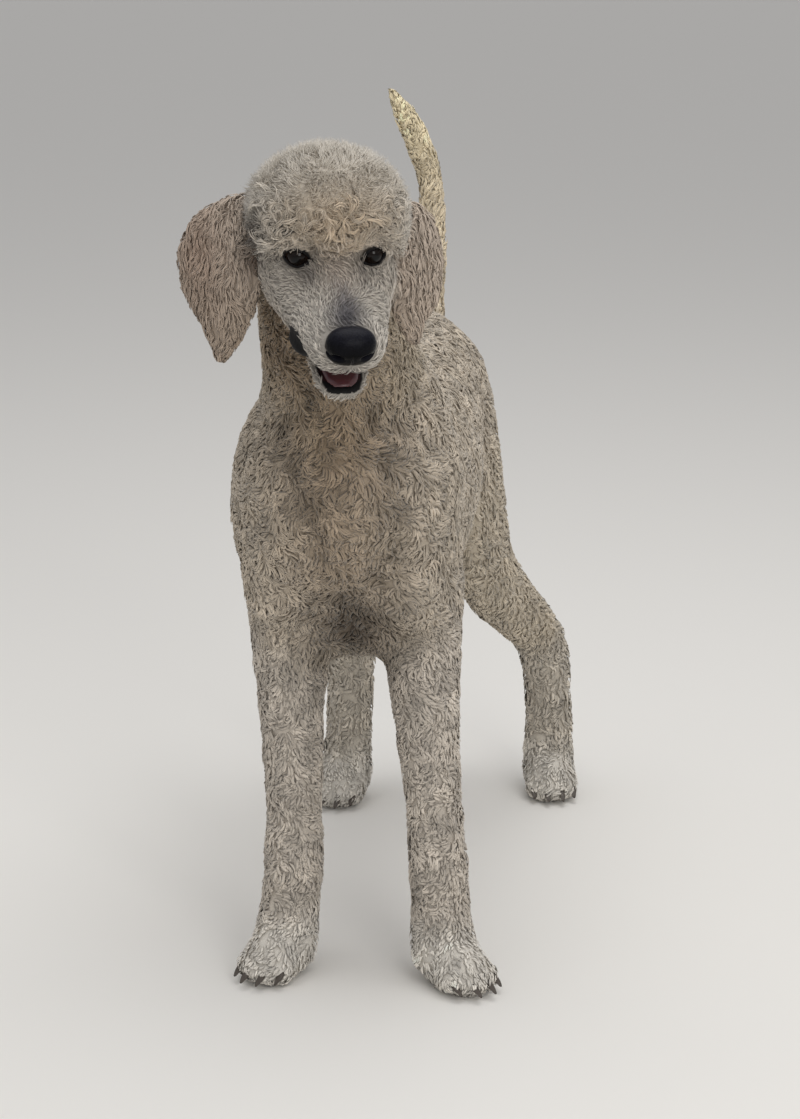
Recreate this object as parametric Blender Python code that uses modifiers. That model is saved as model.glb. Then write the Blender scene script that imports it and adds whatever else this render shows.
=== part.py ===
# A standing standard poodle in a short curly clip, at life size, as a still display model.
# Metres, +Z up. The dog stands on z = 0 and faces -Y, with its left side towards +X.
# The outlines run to the tips of the coat. The body is modelled whole and parted with thin cuts.

import math

import bpy
import bmesh
from mathutils import Matrix, Vector

# Driving dimensions

GAP = 0.0004
PAW_SOLE = 0.0

# Moves the model so that its box is centred on the origin.
CENTRE_X = -0.0195
CENTRE_Y = 0.019

# The head turns to the dog's left and dips. Its own frame has its origin between the eyes,
# faces -Y and has +X to the dog's left.
EYES_AT = Vector((0.0222, -0.3725, 0.7300))
HEAD_TURN = math.radians(19.5)
HEAD_DIP = math.radians(24.5)
HEAD = Matrix.Translation(EYES_AT) @ Matrix.Rotation(HEAD_TURN, 4, "Z") @ Matrix.Rotation(HEAD_DIP, 4, "X")
HALF_EYE_SPACING = 0.0322
EYEBALL_RADIUS = 0.0115
JAW_OPEN = math.radians(10)
JAW_HINGE = Vector((0.0, 0.045, -0.040))

# Fineness of the two wholes that the nodes are cut from
BODY_VOXEL = 0.0055
HEAD_VOXEL = 0.0024
BODY_TRIANGLES = 2400
HEAD_TRIANGLES = 2170

# Each row is one section of a form: x, y, z of its centre, half its width, and its reach on
# the upper or rear side and on the lower or front side.

TRUNK = (
    (0.000, -0.290, 0.440, 0.036, 0.040, 0.040),
    (0.000, -0.272, 0.450, 0.074, 0.078, 0.080),
    (0.000, -0.235, 0.463, 0.100, 0.108, 0.128),
    (0.000, -0.180, 0.468, 0.108, 0.134, 0.160),
    (0.000, -0.110, 0.466, 0.106, 0.142, 0.162),
    (0.000, -0.030, 0.462, 0.106, 0.136, 0.152),
    (0.000, 0.050, 0.466, 0.102, 0.130, 0.134),
    (0.000, 0.120, 0.474, 0.092, 0.124, 0.110),
    (0.000, 0.180, 0.478, 0.084, 0.122, 0.096),
    (0.000, 0.245, 0.476, 0.083, 0.116, 0.092),
    (0.000, 0.300, 0.478, 0.078, 0.090, 0.080),
    (0.000, 0.336, 0.484, 0.052, 0.054, 0.050),
    (0.000, 0.350, 0.486, 0.022, 0.024, 0.022),
)
NECK = (
    (0.000, -0.120, 0.480, 0.084, 0.090, 0.096),
    (0.000, -0.158, 0.545, 0.092, 0.092, 0.104),
    (-0.003, -0.195, 0.600, 0.076, 0.078, 0.088),
    (-0.0075, -0.226, 0.648, 0.0685, 0.066, 0.070),
    (-0.0085, -0.252, 0.692, 0.0625, 0.060, 0.062),
    (-0.008, -0.276, 0.732, 0.056, 0.052, 0.056),
    (-0.008, -0.294, 0.762, 0.040, 0.036, 0.040),
)
TAIL = (
    (0.000, 0.285, 0.520, 0.030, 0.030, 0.030),
    (0.000, 0.318, 0.560, 0.024, 0.024, 0.024),
    (0.001, 0.345, 0.602, 0.0200, 0.0200, 0.0200),
    (0.002, 0.360, 0.655, 0.0185, 0.0185, 0.0185),
    (0.001, 0.364, 0.705, 0.0150, 0.0160, 0.0160),
    (-0.009, 0.360, 0.748, 0.0165, 0.0175, 0.0175),
    (-0.025, 0.352, 0.785, 0.0145, 0.0160, 0.0160),
    (-0.040, 0.342, 0.812, 0.0085, 0.0095, 0.0095),
    (-0.048, 0.336, 0.824, 0.0030, 0.0030, 0.0030),
)
FORELEG_LEFT = (
    (0.058, -0.150, 0.440, 0.048, 0.060, 0.070),
    (0.064, -0.152, 0.375, 0.045, 0.062, 0.066),
    (0.070, -0.163, 0.320, 0.039, 0.050, 0.048),
    (0.075, -0.176, 0.265, 0.034, 0.036, 0.036),
    (0.081, -0.184, 0.205, 0.030, 0.032, 0.032),
    (0.087, -0.190, 0.150, 0.0285, 0.030, 0.030),
    (0.090, -0.194, 0.115, 0.0310, 0.032, 0.032),
    (0.093, -0.198, 0.075, 0.0300, 0.032, 0.031),
    (0.096, -0.208, 0.042, 0.0330, 0.034, 0.034),
    (0.098, -0.212, 0.012, 0.0330, 0.032, 0.034),
)
FORELEG_RIGHT = (
    (-0.058, -0.150, 0.440, 0.048, 0.060, 0.070),
    (-0.062, -0.152, 0.375, 0.045, 0.062, 0.066),
    (-0.060, -0.163, 0.320, 0.039, 0.050, 0.048),
    (-0.058, -0.176, 0.265, 0.034, 0.036, 0.036),
    (-0.055, -0.184, 0.205, 0.030, 0.032, 0.032),
    (-0.053, -0.190, 0.150, 0.0285, 0.030, 0.030),
    (-0.053, -0.194, 0.115, 0.0310, 0.032, 0.032),
    (-0.055, -0.198, 0.075, 0.0300, 0.032, 0.031),
    (-0.058, -0.208, 0.042, 0.0330, 0.034, 0.034),
    (-0.060, -0.212, 0.012, 0.0330, 0.032, 0.034),
)
HINDLEG_LEFT = (
    (0.046, 0.245, 0.480, 0.042, 0.080, 0.085),
    (0.056, 0.240, 0.415, 0.042, 0.078, 0.080),
    (0.068, 0.236, 0.350, 0.038, 0.064, 0.064),
    (0.078, 0.262, 0.295, 0.034, 0.048, 0.052),
    (0.097, 0.318, 0.245, 0.031, 0.038, 0.040),
    (0.118, 0.372, 0.202, 0.030, 0.034, 0.033),
    (0.131, 0.395, 0.165, 0.0300, 0.034, 0.030),
    (0.136, 0.398, 0.115, 0.0285, 0.028, 0.029),
    (0.138, 0.394, 0.070, 0.0290, 0.029, 0.031),
    (0.139, 0.384, 0.040, 0.0320, 0.033, 0.034),
    (0.140, 0.380, 0.012, 0.0320, 0.032, 0.034),
)
HINDLEG_RIGHT = (
    (-0.046, 0.235, 0.480, 0.042, 0.080, 0.085),
    (-0.054, 0.222, 0.415, 0.042, 0.078, 0.080),
    (-0.062, 0.208, 0.350, 0.038, 0.064, 0.064),
    (-0.070, 0.226, 0.295, 0.034, 0.048, 0.052),
    (-0.078, 0.272, 0.245, 0.031, 0.038, 0.040),
    (-0.085, 0.318, 0.202, 0.030, 0.034, 0.033),
    (-0.088, 0.336, 0.165, 0.0300, 0.034, 0.030),
    (-0.090, 0.338, 0.115, 0.0285, 0.028, 0.029),
    (-0.091, 0.334, 0.070, 0.0290, 0.029, 0.031),
    (-0.092, 0.324, 0.040, 0.0320, 0.033, 0.034),
    (-0.092, 0.320, 0.012, 0.0320, 0.032, 0.034),
)

# The head's sections are in its own frame.
SKULL = (
    (0.0, 0.128, -0.014, 0.026, 0.026, 0.026),
    (0.0, 0.106, -0.014, 0.046, 0.046, 0.040),
    (0.0, 0.076, -0.020, 0.056, 0.060, 0.043),
    (0.0, 0.045, -0.026, 0.0605, 0.062, 0.042),
    (0.0, 0.020, -0.028, 0.0600, 0.056, 0.041),
    (0.0, 0.000, -0.027, 0.0560, 0.045, 0.042),
    (0.0, -0.018, -0.028, 0.0505, 0.032, 0.041),
    (0.0, -0.034, -0.029, 0.0460, 0.0265, 0.0380),
    (0.0, -0.046, -0.029, 0.0430, 0.0235, 0.0335),
    (0.0, -0.062, -0.029, 0.0395, 0.0205, 0.0300),
    (0.0, -0.084, -0.030, 0.0350, 0.0190, 0.0275),
    (0.0, -0.101, -0.031, 0.0290, 0.0165, 0.0250),
    (0.0, -0.110, -0.032, 0.0190, 0.0115, 0.0170),
)
LOWER_JAW = (
    (0.0, 0.062, -0.050, 0.040, 0.018, 0.016),
    (0.0, 0.030, -0.052, 0.040, 0.014, 0.016),
    (0.0, 0.000, -0.055, 0.034, 0.010, 0.015),
    (0.0, -0.030, -0.058, 0.0265, 0.0075, 0.0130),
    (0.0, -0.058, -0.0595, 0.0250, 0.0065, 0.0115),
    (0.0, -0.080, -0.0600, 0.0228, 0.0065, 0.0105),
    (0.0, -0.093, -0.0595, 0.0178, 0.0055, 0.0080),
    (0.0, -0.099, -0.0590, 0.0090, 0.0030, 0.0040),
)
# Rows of a tongue lying in the lower jaw, in the head's frame before the jaw opens
TONGUE = (
    (0.0, -0.055, -0.0520, 0.0140, 0.0045, 0.0060),
    (0.0, -0.062, -0.0520, 0.0170, 0.0055, 0.0070),
    (0.0, -0.074, -0.0525, 0.0172, 0.0055, 0.0070),
    (0.0, -0.084, -0.0535, 0.0145, 0.0050, 0.0060),
    (0.0, -0.090, -0.0545, 0.0085, 0.0035, 0.0040),
)

# An ear is a flat hanging leaf: x, y, z, half its width, and half its thickness twice.
EAR_RIGHT = (
    (-0.0600, -0.336, 0.776, 0.014, 0.0100, 0.0100),
    (-0.0710, -0.336, 0.762, 0.0245, 0.0100, 0.0100),
    (-0.0840, -0.331, 0.740, 0.041, 0.0100, 0.0100),
    (-0.0955, -0.324, 0.713, 0.053, 0.0100, 0.0100),
    (-0.0900, -0.326, 0.684, 0.047, 0.0110, 0.0110),
    (-0.0870, -0.330, 0.656, 0.026, 0.0105, 0.0105),
    (-0.0885, -0.332, 0.637, 0.0125, 0.0085, 0.0085),
    (-0.0900, -0.333, 0.626, 0.0050, 0.0040, 0.0040),
)
EAR_RIGHT_WIDTH = Vector((-0.80, 0.60, 0.0))
EAR_LEFT = (
    (0.0540, -0.300, 0.776, 0.014, 0.0110, 0.0110),
    (0.0680, -0.300, 0.762, 0.024, 0.0100, 0.0100),
    (0.0780, -0.296, 0.742, 0.037, 0.0100, 0.0100),
    (0.0820, -0.294, 0.714, 0.042, 0.0100, 0.0100),
    (0.0810, -0.304, 0.690, 0.036, 0.0110, 0.0110),
    (0.0800, -0.316, 0.670, 0.021, 0.0105, 0.0105),
    (0.0840, -0.322, 0.656, 0.0140, 0.0085, 0.0085),
    (0.0870, -0.326, 0.646, 0.0060, 0.0040, 0.0040),
)
EAR_LEFT_WIDTH = Vector((0.50, 0.866, 0.0))

# The clipped dome of hair on the skull, in the head's frame
TOPKNOT_CENTRE = Vector((0.0, 0.045, 0.0180))
TOPKNOT_RADII = Vector((0.0730, 0.0700, 0.0625))
TOPKNOT_BACK_STRETCH = 1.25
TOPKNOT_BACK_DROP = 0.22
TOPKNOT_EDGE = Vector((0.0, -0.020, 0.020))
TOPKNOT_EDGE_SLOPE = math.atan(0.40)

NOSE_CENTRE = Vector((0.0, -0.1045, -0.0245))
NOSE_RADII = Vector((0.0213, 0.0155, 0.0170))

# Muscles that round the body's forms: centre, radii, and turn about X in degrees
SHOULDER = ((0.060, -0.190, 0.478), (0.052, 0.068, 0.105), -18)
UPPER_ARM = ((0.062, -0.205, 0.405), (0.038, 0.052, 0.062), 20)
RUMP = ((0.044, 0.255, 0.470), (0.042, 0.078, 0.092), 10)
BASE_OF_NECK = ((0.0, -0.232, 0.530), (0.064, 0.060, 0.078), -24)
CHEEK = ((0.037, 0.034, -0.036), (0.0235, 0.038, 0.030), 0)
BROW = ((0.031, 0.009, 0.0145), (0.019, 0.017, 0.0105), 0)
FLEWS = ((0.0255, -0.048, -0.0500), (0.0165, 0.030, 0.0145), 0)

# A paw: half its width, half its length and its height, with four toes in front
PAW_RADII = Vector((0.0315, 0.040, 0.031))
TOE_RADII = Vector((0.0118, 0.0170, 0.0155))
TOE_PLACES = ((-0.0230, -0.022), (-0.0085, -0.034), (0.0085, -0.034), (0.0230, -0.022))
# A claw's sections run forwards from its toe, in the paw's frame.
CLAW = (
    (0.0, -0.008, -0.0010, 0.0036, 0.0036, 0.0036),
    (0.0, -0.017, -0.0045, 0.0032, 0.0034, 0.0034),
    (0.0, -0.0235, -0.0095, 0.0020, 0.0022, 0.0022),
    (0.0, -0.0260, -0.0130, 0.0010, 0.0010, 0.0010),
)
PAWS = {
    "forepaw_left": (Vector((0.112, -0.226, 0.016)), math.radians(42)),
    "forepaw_right": (Vector((-0.064, -0.224, 0.016)), math.radians(-20)),
    "hindpaw_left": (Vector((0.142, 0.368, 0.016)), math.radians(14)),
    "hindpaw_right": (Vector((-0.094, 0.308, 0.016)), math.radians(-8)),
}


def clear_scene():
    for old in list(bpy.data.objects):
        bpy.data.objects.remove(old)


def collection(name):
    made = bpy.data.collections.new(name)
    bpy.context.scene.collection.children.link(made)
    return made


def finish(name, colour, roughness):
    """A plain material of one linear colour."""
    made = bpy.data.materials.new(name)
    made.use_nodes = True
    shader = made.node_tree.nodes["Principled BSDF"]
    shader.inputs["Base Color"].default_value = (*colour, 1.0)
    shader.inputs["Roughness"].default_value = roughness
    shader.inputs["Metallic"].default_value = 0.0
    return made


def object_of(name, bm, where):
    mesh = bpy.data.meshes.new(name)
    bm.to_mesh(mesh)
    bm.free()
    made = bpy.data.objects.new(name, mesh)
    where.objects.link(made)
    return made


def eased(rows, steps):
    """The rows with further rows between them, on a smooth curve through all of them."""
    found = []
    last = len(rows) - 1
    for i in range(last):
        before, start = rows[max(i - 1, 0)], rows[i]
        end, after = rows[i + 1], rows[min(i + 2, last)]
        for step in range(steps):
            t = step / steps
            found.append(
                tuple(
                    0.5 * (2 * b + (c - a) * t + (2 * a - 5 * b + 4 * c - d) * t**2 + (3 * b - a - 3 * c + d) * t**3)
                    for a, b, c, d in zip(before, start, end, after)
                )
            )
    return found + [tuple(rows[last])]


def loft(bm, rows, width_axis=Vector((1.0, 0.0, 0.0)), steps=3, sides=20, place=None, pinch=0.0, boxy=2.0):
    """Adds a closed form through oval sections to bm.

    A pinch narrows their upper halves, and a boxy exponent over 2 squares their lower halves.
    """
    place = place or Matrix.Identity(4)
    sections = eased(rows, steps)
    centres = [Vector(row[:3]) for row in sections]
    rings = []
    for i, row in enumerate(sections):
        along = (centres[min(i + 1, len(centres) - 1)] - centres[max(i - 1, 0)]).normalized()
        other = width_axis.cross(along).normalized()
        if other.y + other.z < 0:
            other.negate()
        width = along.cross(other).normalized()
        at_end = i in (0, len(sections) - 1)
        ring = bmesh.ops.create_circle(bm, cap_ends=at_end, segments=sides, radius=1.0)["verts"]
        for vert in ring:
            across, over = vert.co.x, vert.co.y
            if over < 0:
                swell = (abs(across) ** boxy + abs(over) ** boxy) ** (-1 / boxy)
                across, over = across * swell, over * swell
            across *= 1 - pinch * max(over, 0.0)
            reach = row[4] if over > 0 else row[5]
            vert.co = place @ (centres[i] + width * across * row[3] + other * over * reach)
        inside = set(ring)
        rings.append([e for v in ring for e in v.link_edges if e.verts[0] in inside and e.verts[1] in inside])
    for first, second in zip(rings, rings[1:]):
        bmesh.ops.bridge_loops(bm, edges=list(set(first) | set(second)))
    bmesh.ops.recalc_face_normals(bm, faces=bm.faces)


def ball(bm, centre, radii, tilt=0.0, place=None, segments=20):
    """Adds an oval ball to bm, turned by tilt degrees about X."""
    shape = Matrix.Translation(centre) @ Matrix.Rotation(math.radians(tilt), 4, "X") @ Matrix.Diagonal((*radii, 1.0))
    bmesh.ops.create_uvsphere(
        bm, u_segments=segments, v_segments=segments // 2 + 2, radius=1.0, matrix=(place or Matrix.Identity(4)) @ shape
    )


def both_sides(bm, muscle, place=None):
    centre, radii, tilt = muscle
    for side in (-1, 1):
        ball(bm, (side * centre[0], centre[1], centre[2]), radii, tilt, place)


def settled(obj):
    """The object with its modifiers applied."""
    graph = bpy.context.evaluated_depsgraph_get()
    mesh = bpy.data.meshes.new_from_object(obj.evaluated_get(graph))
    obj.modifiers.clear()
    obj.data = mesh
    return obj


def blended(obj, voxel, rounds, triangles):
    """Joins the overlapping forms of obj into one smooth skin of about that many triangles."""
    remesh = obj.modifiers.new("Remesh", "REMESH")
    remesh.mode = "VOXEL"
    remesh.voxel_size = voxel
    smooth = obj.modifiers.new("Smooth", "SMOOTH")
    smooth.factor = 0.5
    smooth.iterations = rounds
    settled(obj)
    obj.data.calc_loop_triangles()
    thin = obj.modifiers.new("Decimate", "DECIMATE")
    thin.ratio = triangles / len(obj.data.loop_triangles)
    return settled(obj)


def copy_of(obj, name, where):
    made = bpy.data.objects.new(name, obj.data.copy())
    where.objects.link(made)
    return made


def cut(obj, cutter, operation):
    bool_mod = obj.modifiers.new("Cut", "BOOLEAN")
    bool_mod.operation = operation
    bool_mod.object = cutter
    bool_mod.solver = "EXACT"
    return settled(obj)


def block(centre, size, turn, grow, cutters, slopes=(0.0, 0.0)):
    """A cutter box, with its sides moved outwards by grow and its top rising along X and Y."""
    bm = bmesh.new()
    grown = [side + 2 * grow for side in size]
    bmesh.ops.create_cube(bm, size=1.0, matrix=Matrix.Diagonal((*grown, 1.0)))
    for vert in bm.verts:
        if vert.co.z > 0:
            vert.co.z += slopes[0] * vert.co.x + slopes[1] * vert.co.y
    bm.transform(Matrix.Translation(centre) @ turn)
    made = object_of("cutter_block", bm, cutters)
    made.hide_render = True
    made.display_type = "WIRE"
    return made


def part_off(whole, name, where, cutters, centre, size, turn=Matrix.Identity(4), slopes=(0.0, 0.0)):
    """Takes the stretch of whole inside a box away as an object of its own, with a thin gap between."""
    piece = cut(copy_of(whole, name, where), block(centre, size, turn, 0.0, cutters, slopes), "INTERSECT")
    cut(whole, block(centre, size, turn, GAP, cutters, slopes), "DIFFERENCE")
    return piece


def keep_clear(obj, *others):
    """Cuts obj by its neighbours and then draws its whole surface in by the gap."""
    for other in others:
        cut(obj, other, "DIFFERENCE")
    shrink = obj.modifiers.new("Shrink", "DISPLACE")
    shrink.mid_level = 0.0
    shrink.strength = -GAP
    return settled(obj)


def add_paw(bm, centre, turn):
    place = Matrix.Translation(centre) @ Matrix.Rotation(turn, 4, "Z")
    ball(bm, (0.0, 0.0, 0.004), PAW_RADII, 0, place)
    for x, y in TOE_PLACES:
        ball(bm, (x, y, -0.002), TOE_RADII, 0, place, segments=14)


def add_claws(paw, centre, turn, cutters):
    """Joins a claw to each toe of a paw."""
    for x, y in TOE_PLACES:
        place = Matrix.Translation(centre) @ Matrix.Rotation(turn, 4, "Z") @ Matrix.Translation((x, y, 0.0))
        bm = bmesh.new()
        loft(bm, CLAW, place=place, steps=1, sides=6)
        claw = object_of("cutter_claw", bm, cutters)
        claw.hide_render = True
        cut(paw, claw, "UNION")


def make_body(where):
    """Neck, trunk, tail and legs as one whole."""
    bm = bmesh.new()
    loft(bm, TRUNK, sides=28)
    loft(bm, NECK)
    loft(bm, TAIL)
    for leg in (FORELEG_LEFT, FORELEG_RIGHT, HINDLEG_LEFT, HINDLEG_RIGHT):
        loft(bm, leg)
    for muscle in (SHOULDER, UPPER_ARM, RUMP):
        both_sides(bm, muscle)
    ball(bm, *BASE_OF_NECK)
    for centre, turn in PAWS.values():
        add_paw(bm, centre, turn)
    return blended(object_of("trunk", bm, where), BODY_VOXEL, 10, BODY_TRIANGLES)


def opened_jaw():
    """The head's frame turned about the jaw's hinge."""
    there, back = Matrix.Translation(JAW_HINGE), Matrix.Translation(-JAW_HINGE)
    return HEAD @ there @ Matrix.Rotation(JAW_OPEN, 4, "X") @ back


def topknot_edge(grow, cutters, up):
    """A cutter on one side of the topknot's lower edge, which falls from over the eyes to behind the ears."""
    turn = HEAD.to_3x3().to_4x4() @ Matrix.Rotation(-TOPKNOT_EDGE_SLOPE, 4, "X")
    centre = HEAD @ TOPKNOT_EDGE + turn @ Vector((0, 0.06, 0.1 if up else -0.1))
    return block(centre, (0.3, 0.4, 0.2), turn, grow, cutters)


def make_head(where, cutters):
    """Topknot, skull, muzzle, lower jaw and the top of the neck as one whole."""
    bm = bmesh.new()
    ball(bm, (0.0, 0.0, 0.0), TOPKNOT_RADII, segments=32)
    for vert in bm.verts:
        if vert.co.y > 0:
            vert.co.y *= TOPKNOT_BACK_STRETCH
            vert.co.z -= TOPKNOT_BACK_DROP * vert.co.y
    bm.transform(HEAD @ Matrix.Translation(TOPKNOT_CENTRE))
    dome = object_of("cutter_dome", bm, cutters)
    dome.hide_render = True
    dome.display_type = "WIRE"
    cut(dome, topknot_edge(0.0, cutters, False), "DIFFERENCE")
    bm = bmesh.new()
    bm.from_mesh(dome.data)
    loft(bm, SKULL, place=HEAD, sides=24, pinch=0.16, boxy=2.9)
    loft(bm, LOWER_JAW, place=opened_jaw())
    loft(bm, NECK[3:])
    for muscle in (CHEEK, BROW, FLEWS):
        both_sides(bm, muscle, HEAD)
    return blended(object_of("head", bm, where), HEAD_VOXEL, 5, HEAD_TRIANGLES)


def towards(direction):
    """The turn that takes +Z to a direction and keeps X level."""
    up = Vector(direction).normalized()
    level = Vector((1.0, 0.0, 0.0))
    back = up.cross(level).normalized()
    return Matrix((level, back, level.cross(back).normalized())).transposed().to_4x4()


def below(whole, name, where, cutters, side, top, slopes=(0.0, 0.0), reach=(0.20, 0.50)):
    """Parts off what lies on one side of the dog under a plane through top, which rises outwards and rearwards."""
    width, length = reach
    centre = Vector((side * (0.003 + width / 2), top[1], 0.0))
    level = top[2] + slopes[0] * (centre.x * side - top[0])
    height = 0.6
    centre.z = level - height / 2
    rise = (side * slopes[0], slopes[1])
    part_off(whole, name, where, cutters, centre, (width, length, height), slopes=rise)


def part_body(body, where, cutters):
    """Cuts the legs, paws, tail and neck off the trunk."""
    for side, sign in (("left", 1), ("right", -1)):
        below(body, "forepaw_" + side, where, cutters, sign, (0.09, -0.20, 0.058), reach=(0.2, 0.22))
        below(body, "foreleg_" + side, where, cutters, sign, (0.064, -0.19, 0.325), (0.62, 0.0), (0.2, 0.24))
        hind = 0.38 if sign > 0 else 0.325
        below(body, "hindpaw_" + side, where, cutters, sign, (0.11, hind, 0.058), reach=(0.3, 0.26))
        below(body, "hock_" + side, where, cutters, sign, (0.11, hind - 0.006, 0.198), (0.0, 0.9), (0.3, 0.24))
        below(body, "thigh_" + side, where, cutters, sign, (0.062, 0.24, 0.430), (0.75, 0.58), (0.3, 0.50))
    tail_turn = towards((0.0, 0.50, 0.87))
    part_off(body, "tail", where, cutters, Vector((0, 0.318, 0.572)) + tail_turn @ Vector((0, 0, 0.2)), (0.2, 0.4, 0.4), tail_turn)
    neck_turn = towards((0.0, -0.50, 0.87))
    part_off(
        body, "neck", where, cutters, Vector((0, -0.190, 0.598)) + neck_turn @ Vector((0, 0, 0.15)), (0.3, 0.30, 0.3), neck_turn
    )


def main():
    clear_scene()
    dog, cutters = collection("standard_poodle"), collection("cutters")
    coat = finish("curly_coat", (0.62, 0.53, 0.43), 0.9)
    face = finish("short_face_hair", (0.66, 0.61, 0.55), 0.8)
    dome = finish("topknot_hair", (0.68, 0.62, 0.52), 0.9)
    leather = finish("nose_leather", (0.02, 0.02, 0.025), 0.35)
    eye = finish("dark_eye", (0.02, 0.012, 0.008), 0.08)
    wet = finish("tongue", (0.35, 0.10, 0.11), 0.4)

    body = make_body(dog)
    head = make_head(dog, cutters)
    uncut_head, uncut_body = copy_of(head, "uncut_head", cutters), copy_of(body, "uncut_body", cutters)
    for guide in (uncut_head, uncut_body):
        guide.hide_render = True
        guide.display_type = "WIRE"

    # The soles are cut flat before the legs are parted.
    cut(body, block((0.0, 0.1, PAW_SOLE - 0.05), (1.0, 1.4, 0.1), Matrix.Identity(4), 0.0, cutters), "DIFFERENCE")
    part_body(body, dog, cutters)

    for name, (centre, turn) in PAWS.items():
        add_claws(bpy.data.objects[name], centre, turn, cutters)

    # One plane across the throat parts the head from the neck.
    throat = Vector((-0.006, -0.262, 0.706))
    across = towards((0.0, -0.47, 0.88))
    neck = bpy.data.objects["neck"]
    cut(neck, block(throat + across @ Vector((0, 0, 0.1)), (0.3, 0.3, 0.2), across, GAP / 2, cutters), "DIFFERENCE")
    low = throat + across @ Vector((0, 0.020, -0.1))
    cut(head, block(low, (0.3, 0.190, 0.2), across, GAP / 2, cutters), "DIFFERENCE")

    # Eyes, in sockets that are open in front
    for side, sign in (("left", 1), ("right", -1)):
        centre = Vector((sign * HALF_EYE_SPACING, -0.0035, 0.0030))
        bm = bmesh.new()
        ball(bm, centre, [EYEBALL_RADIUS] * 3, 0, HEAD, segments=12)
        socket = bmesh.new()
        ball(socket, centre, [EYEBALL_RADIUS + GAP] * 3, 0, HEAD, segments=12)
        cutter = object_of("cutter_socket", socket, cutters)
        cutter.hide_render = True
        cut(head, cutter, "DIFFERENCE")
        object_of("eye_" + side, bm, dog)

    bm = bmesh.new()
    ball(bm, NOSE_CENTRE, NOSE_RADII, 12, HEAD, segments=16)
    nose = object_of("nose", bm, dog)
    cut(head, nose, "DIFFERENCE")
    keep_clear(nose)

    # The lower jaw is cut from the head along the lips, back to the jaw's corner.
    jaw_turn = HEAD.to_3x3().to_4x4()
    jaw_top = HEAD @ Vector((0.0, -0.038, -0.0652))
    jaw_size = Vector((0.16, 0.17, 0.10))
    jaw_at = jaw_top - jaw_turn @ Vector((0, 0, jaw_size.z / 2))
    part_off(head, "lower_jaw", dog, cutters, jaw_at, jaw_size, jaw_turn)

    bm = bmesh.new()
    loft(bm, TONGUE, place=opened_jaw(), steps=1, sides=12)
    keep_clear(object_of("tongue", bm, dog), bpy.data.objects["lower_jaw"])

    # The topknot is parted off above a plane from the eye's corner to the ear.
    topknot = copy_of(head, "topknot", dog)
    cut(topknot, topknot_edge(0.0, cutters, True), "INTERSECT")
    cut(head, topknot_edge(GAP, cutters, True), "DIFFERENCE")

    for name, rows, width in (("ear_left", EAR_LEFT, EAR_LEFT_WIDTH), ("ear_right", EAR_RIGHT, EAR_RIGHT_WIDTH)):
        bm = bmesh.new()
        loft(bm, rows, width_axis=width, steps=2, sides=12)
        keep_clear(object_of(name, bm, dog), uncut_head, uncut_body)

    slots = {"nose": leather, "eye_left": eye, "eye_right": eye, "tongue": wet, "topknot": dome, "head": face}
    slots["lower_jaw"] = face
    shift = Matrix.Translation((CENTRE_X, CENTRE_Y, 0.0))
    for node in dog.objects:
        node.data.materials.clear()
        node.data.materials.append(slots.get(node.name, coat))
        node.data.transform(shift)
        node.data.shade_smooth()


main()
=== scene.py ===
import math

import bmesh
import bpy
import numpy as np
from mathutils import Matrix, Vector
from mathutils.bvhtree import BVHTree


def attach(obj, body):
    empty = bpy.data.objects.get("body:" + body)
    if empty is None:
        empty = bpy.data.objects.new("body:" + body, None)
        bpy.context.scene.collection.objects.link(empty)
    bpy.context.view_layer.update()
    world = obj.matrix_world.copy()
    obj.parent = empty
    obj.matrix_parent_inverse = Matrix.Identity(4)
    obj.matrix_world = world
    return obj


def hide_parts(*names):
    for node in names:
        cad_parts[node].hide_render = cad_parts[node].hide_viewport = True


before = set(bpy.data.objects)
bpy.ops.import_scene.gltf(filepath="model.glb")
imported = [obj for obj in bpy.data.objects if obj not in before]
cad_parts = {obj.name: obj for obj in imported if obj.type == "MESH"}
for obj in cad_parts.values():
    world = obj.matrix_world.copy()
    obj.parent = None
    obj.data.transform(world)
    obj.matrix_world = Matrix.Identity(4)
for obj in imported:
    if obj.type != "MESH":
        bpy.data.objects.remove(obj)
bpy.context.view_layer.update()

# The outline.
# The dog's outer form, out to the tips of its coat, as one closed surface.
# It is drawn from the solids, which are grown a little so that the thin cuts between them close.
# The skin lies inside it and every lock of the coat ends on it.

OUTLINE_OVERLAP = 0.0006
OUTLINE_VOXEL = 0.0030
OUTLINE_SMOOTHING = 3
OUTLINE_BODY_SHARE = 0.24
SAME_PLACE = 1e-5
FAR_OFF = 9.0

# The head's own frame has its origin between the eyes, faces -Y and has +X to the dog's left.
HEAD_SWING = math.radians(19.5)
HEAD_NOD = math.radians(24.5)
HEAD = (
    Matrix.Translation((0.0027, -0.3535, 0.7300))
    @ Matrix.Rotation(HEAD_SWING, 4, "Z")
    @ Matrix.Rotation(HEAD_NOD, 4, "X")
)
HEAD_TURN = np.array(HEAD.to_3x3())
HEAD_AT = np.array(HEAD.translation)


def in_head(points):
    """Points in the head's own frame."""
    return (points - HEAD_AT) @ HEAD_TURN


def from_head(points):
    """Points of the head's own frame, back in the dog's."""
    return points @ HEAD_TURN.T + HEAD_AT


def rows_of(items, field, width, kind=np.float32):
    """A field of a mesh's points, edges or faces, as an array with a row for each."""
    found = np.empty(len(items) * width, kind)
    items.foreach_get(field, found)
    return found.reshape(-1, width)


def coordinates(mesh):
    return rows_of(mesh.vertices, "co", 3).astype(float)


def triangles(mesh):
    mesh.calc_loop_triangles()
    return rows_of(mesh.loop_triangles, "vertices", 3, np.int32)


def size_of(vectors):
    return np.linalg.norm(vectors, axis=-1)


def unit(vectors):
    return vectors / np.maximum(size_of(vectors)[..., None], 1e-12)


def bell(offset, width):
    """A smooth hump: 1 in its middle, and fading over its width."""
    return np.exp(-((offset / width) ** 2))


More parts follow.
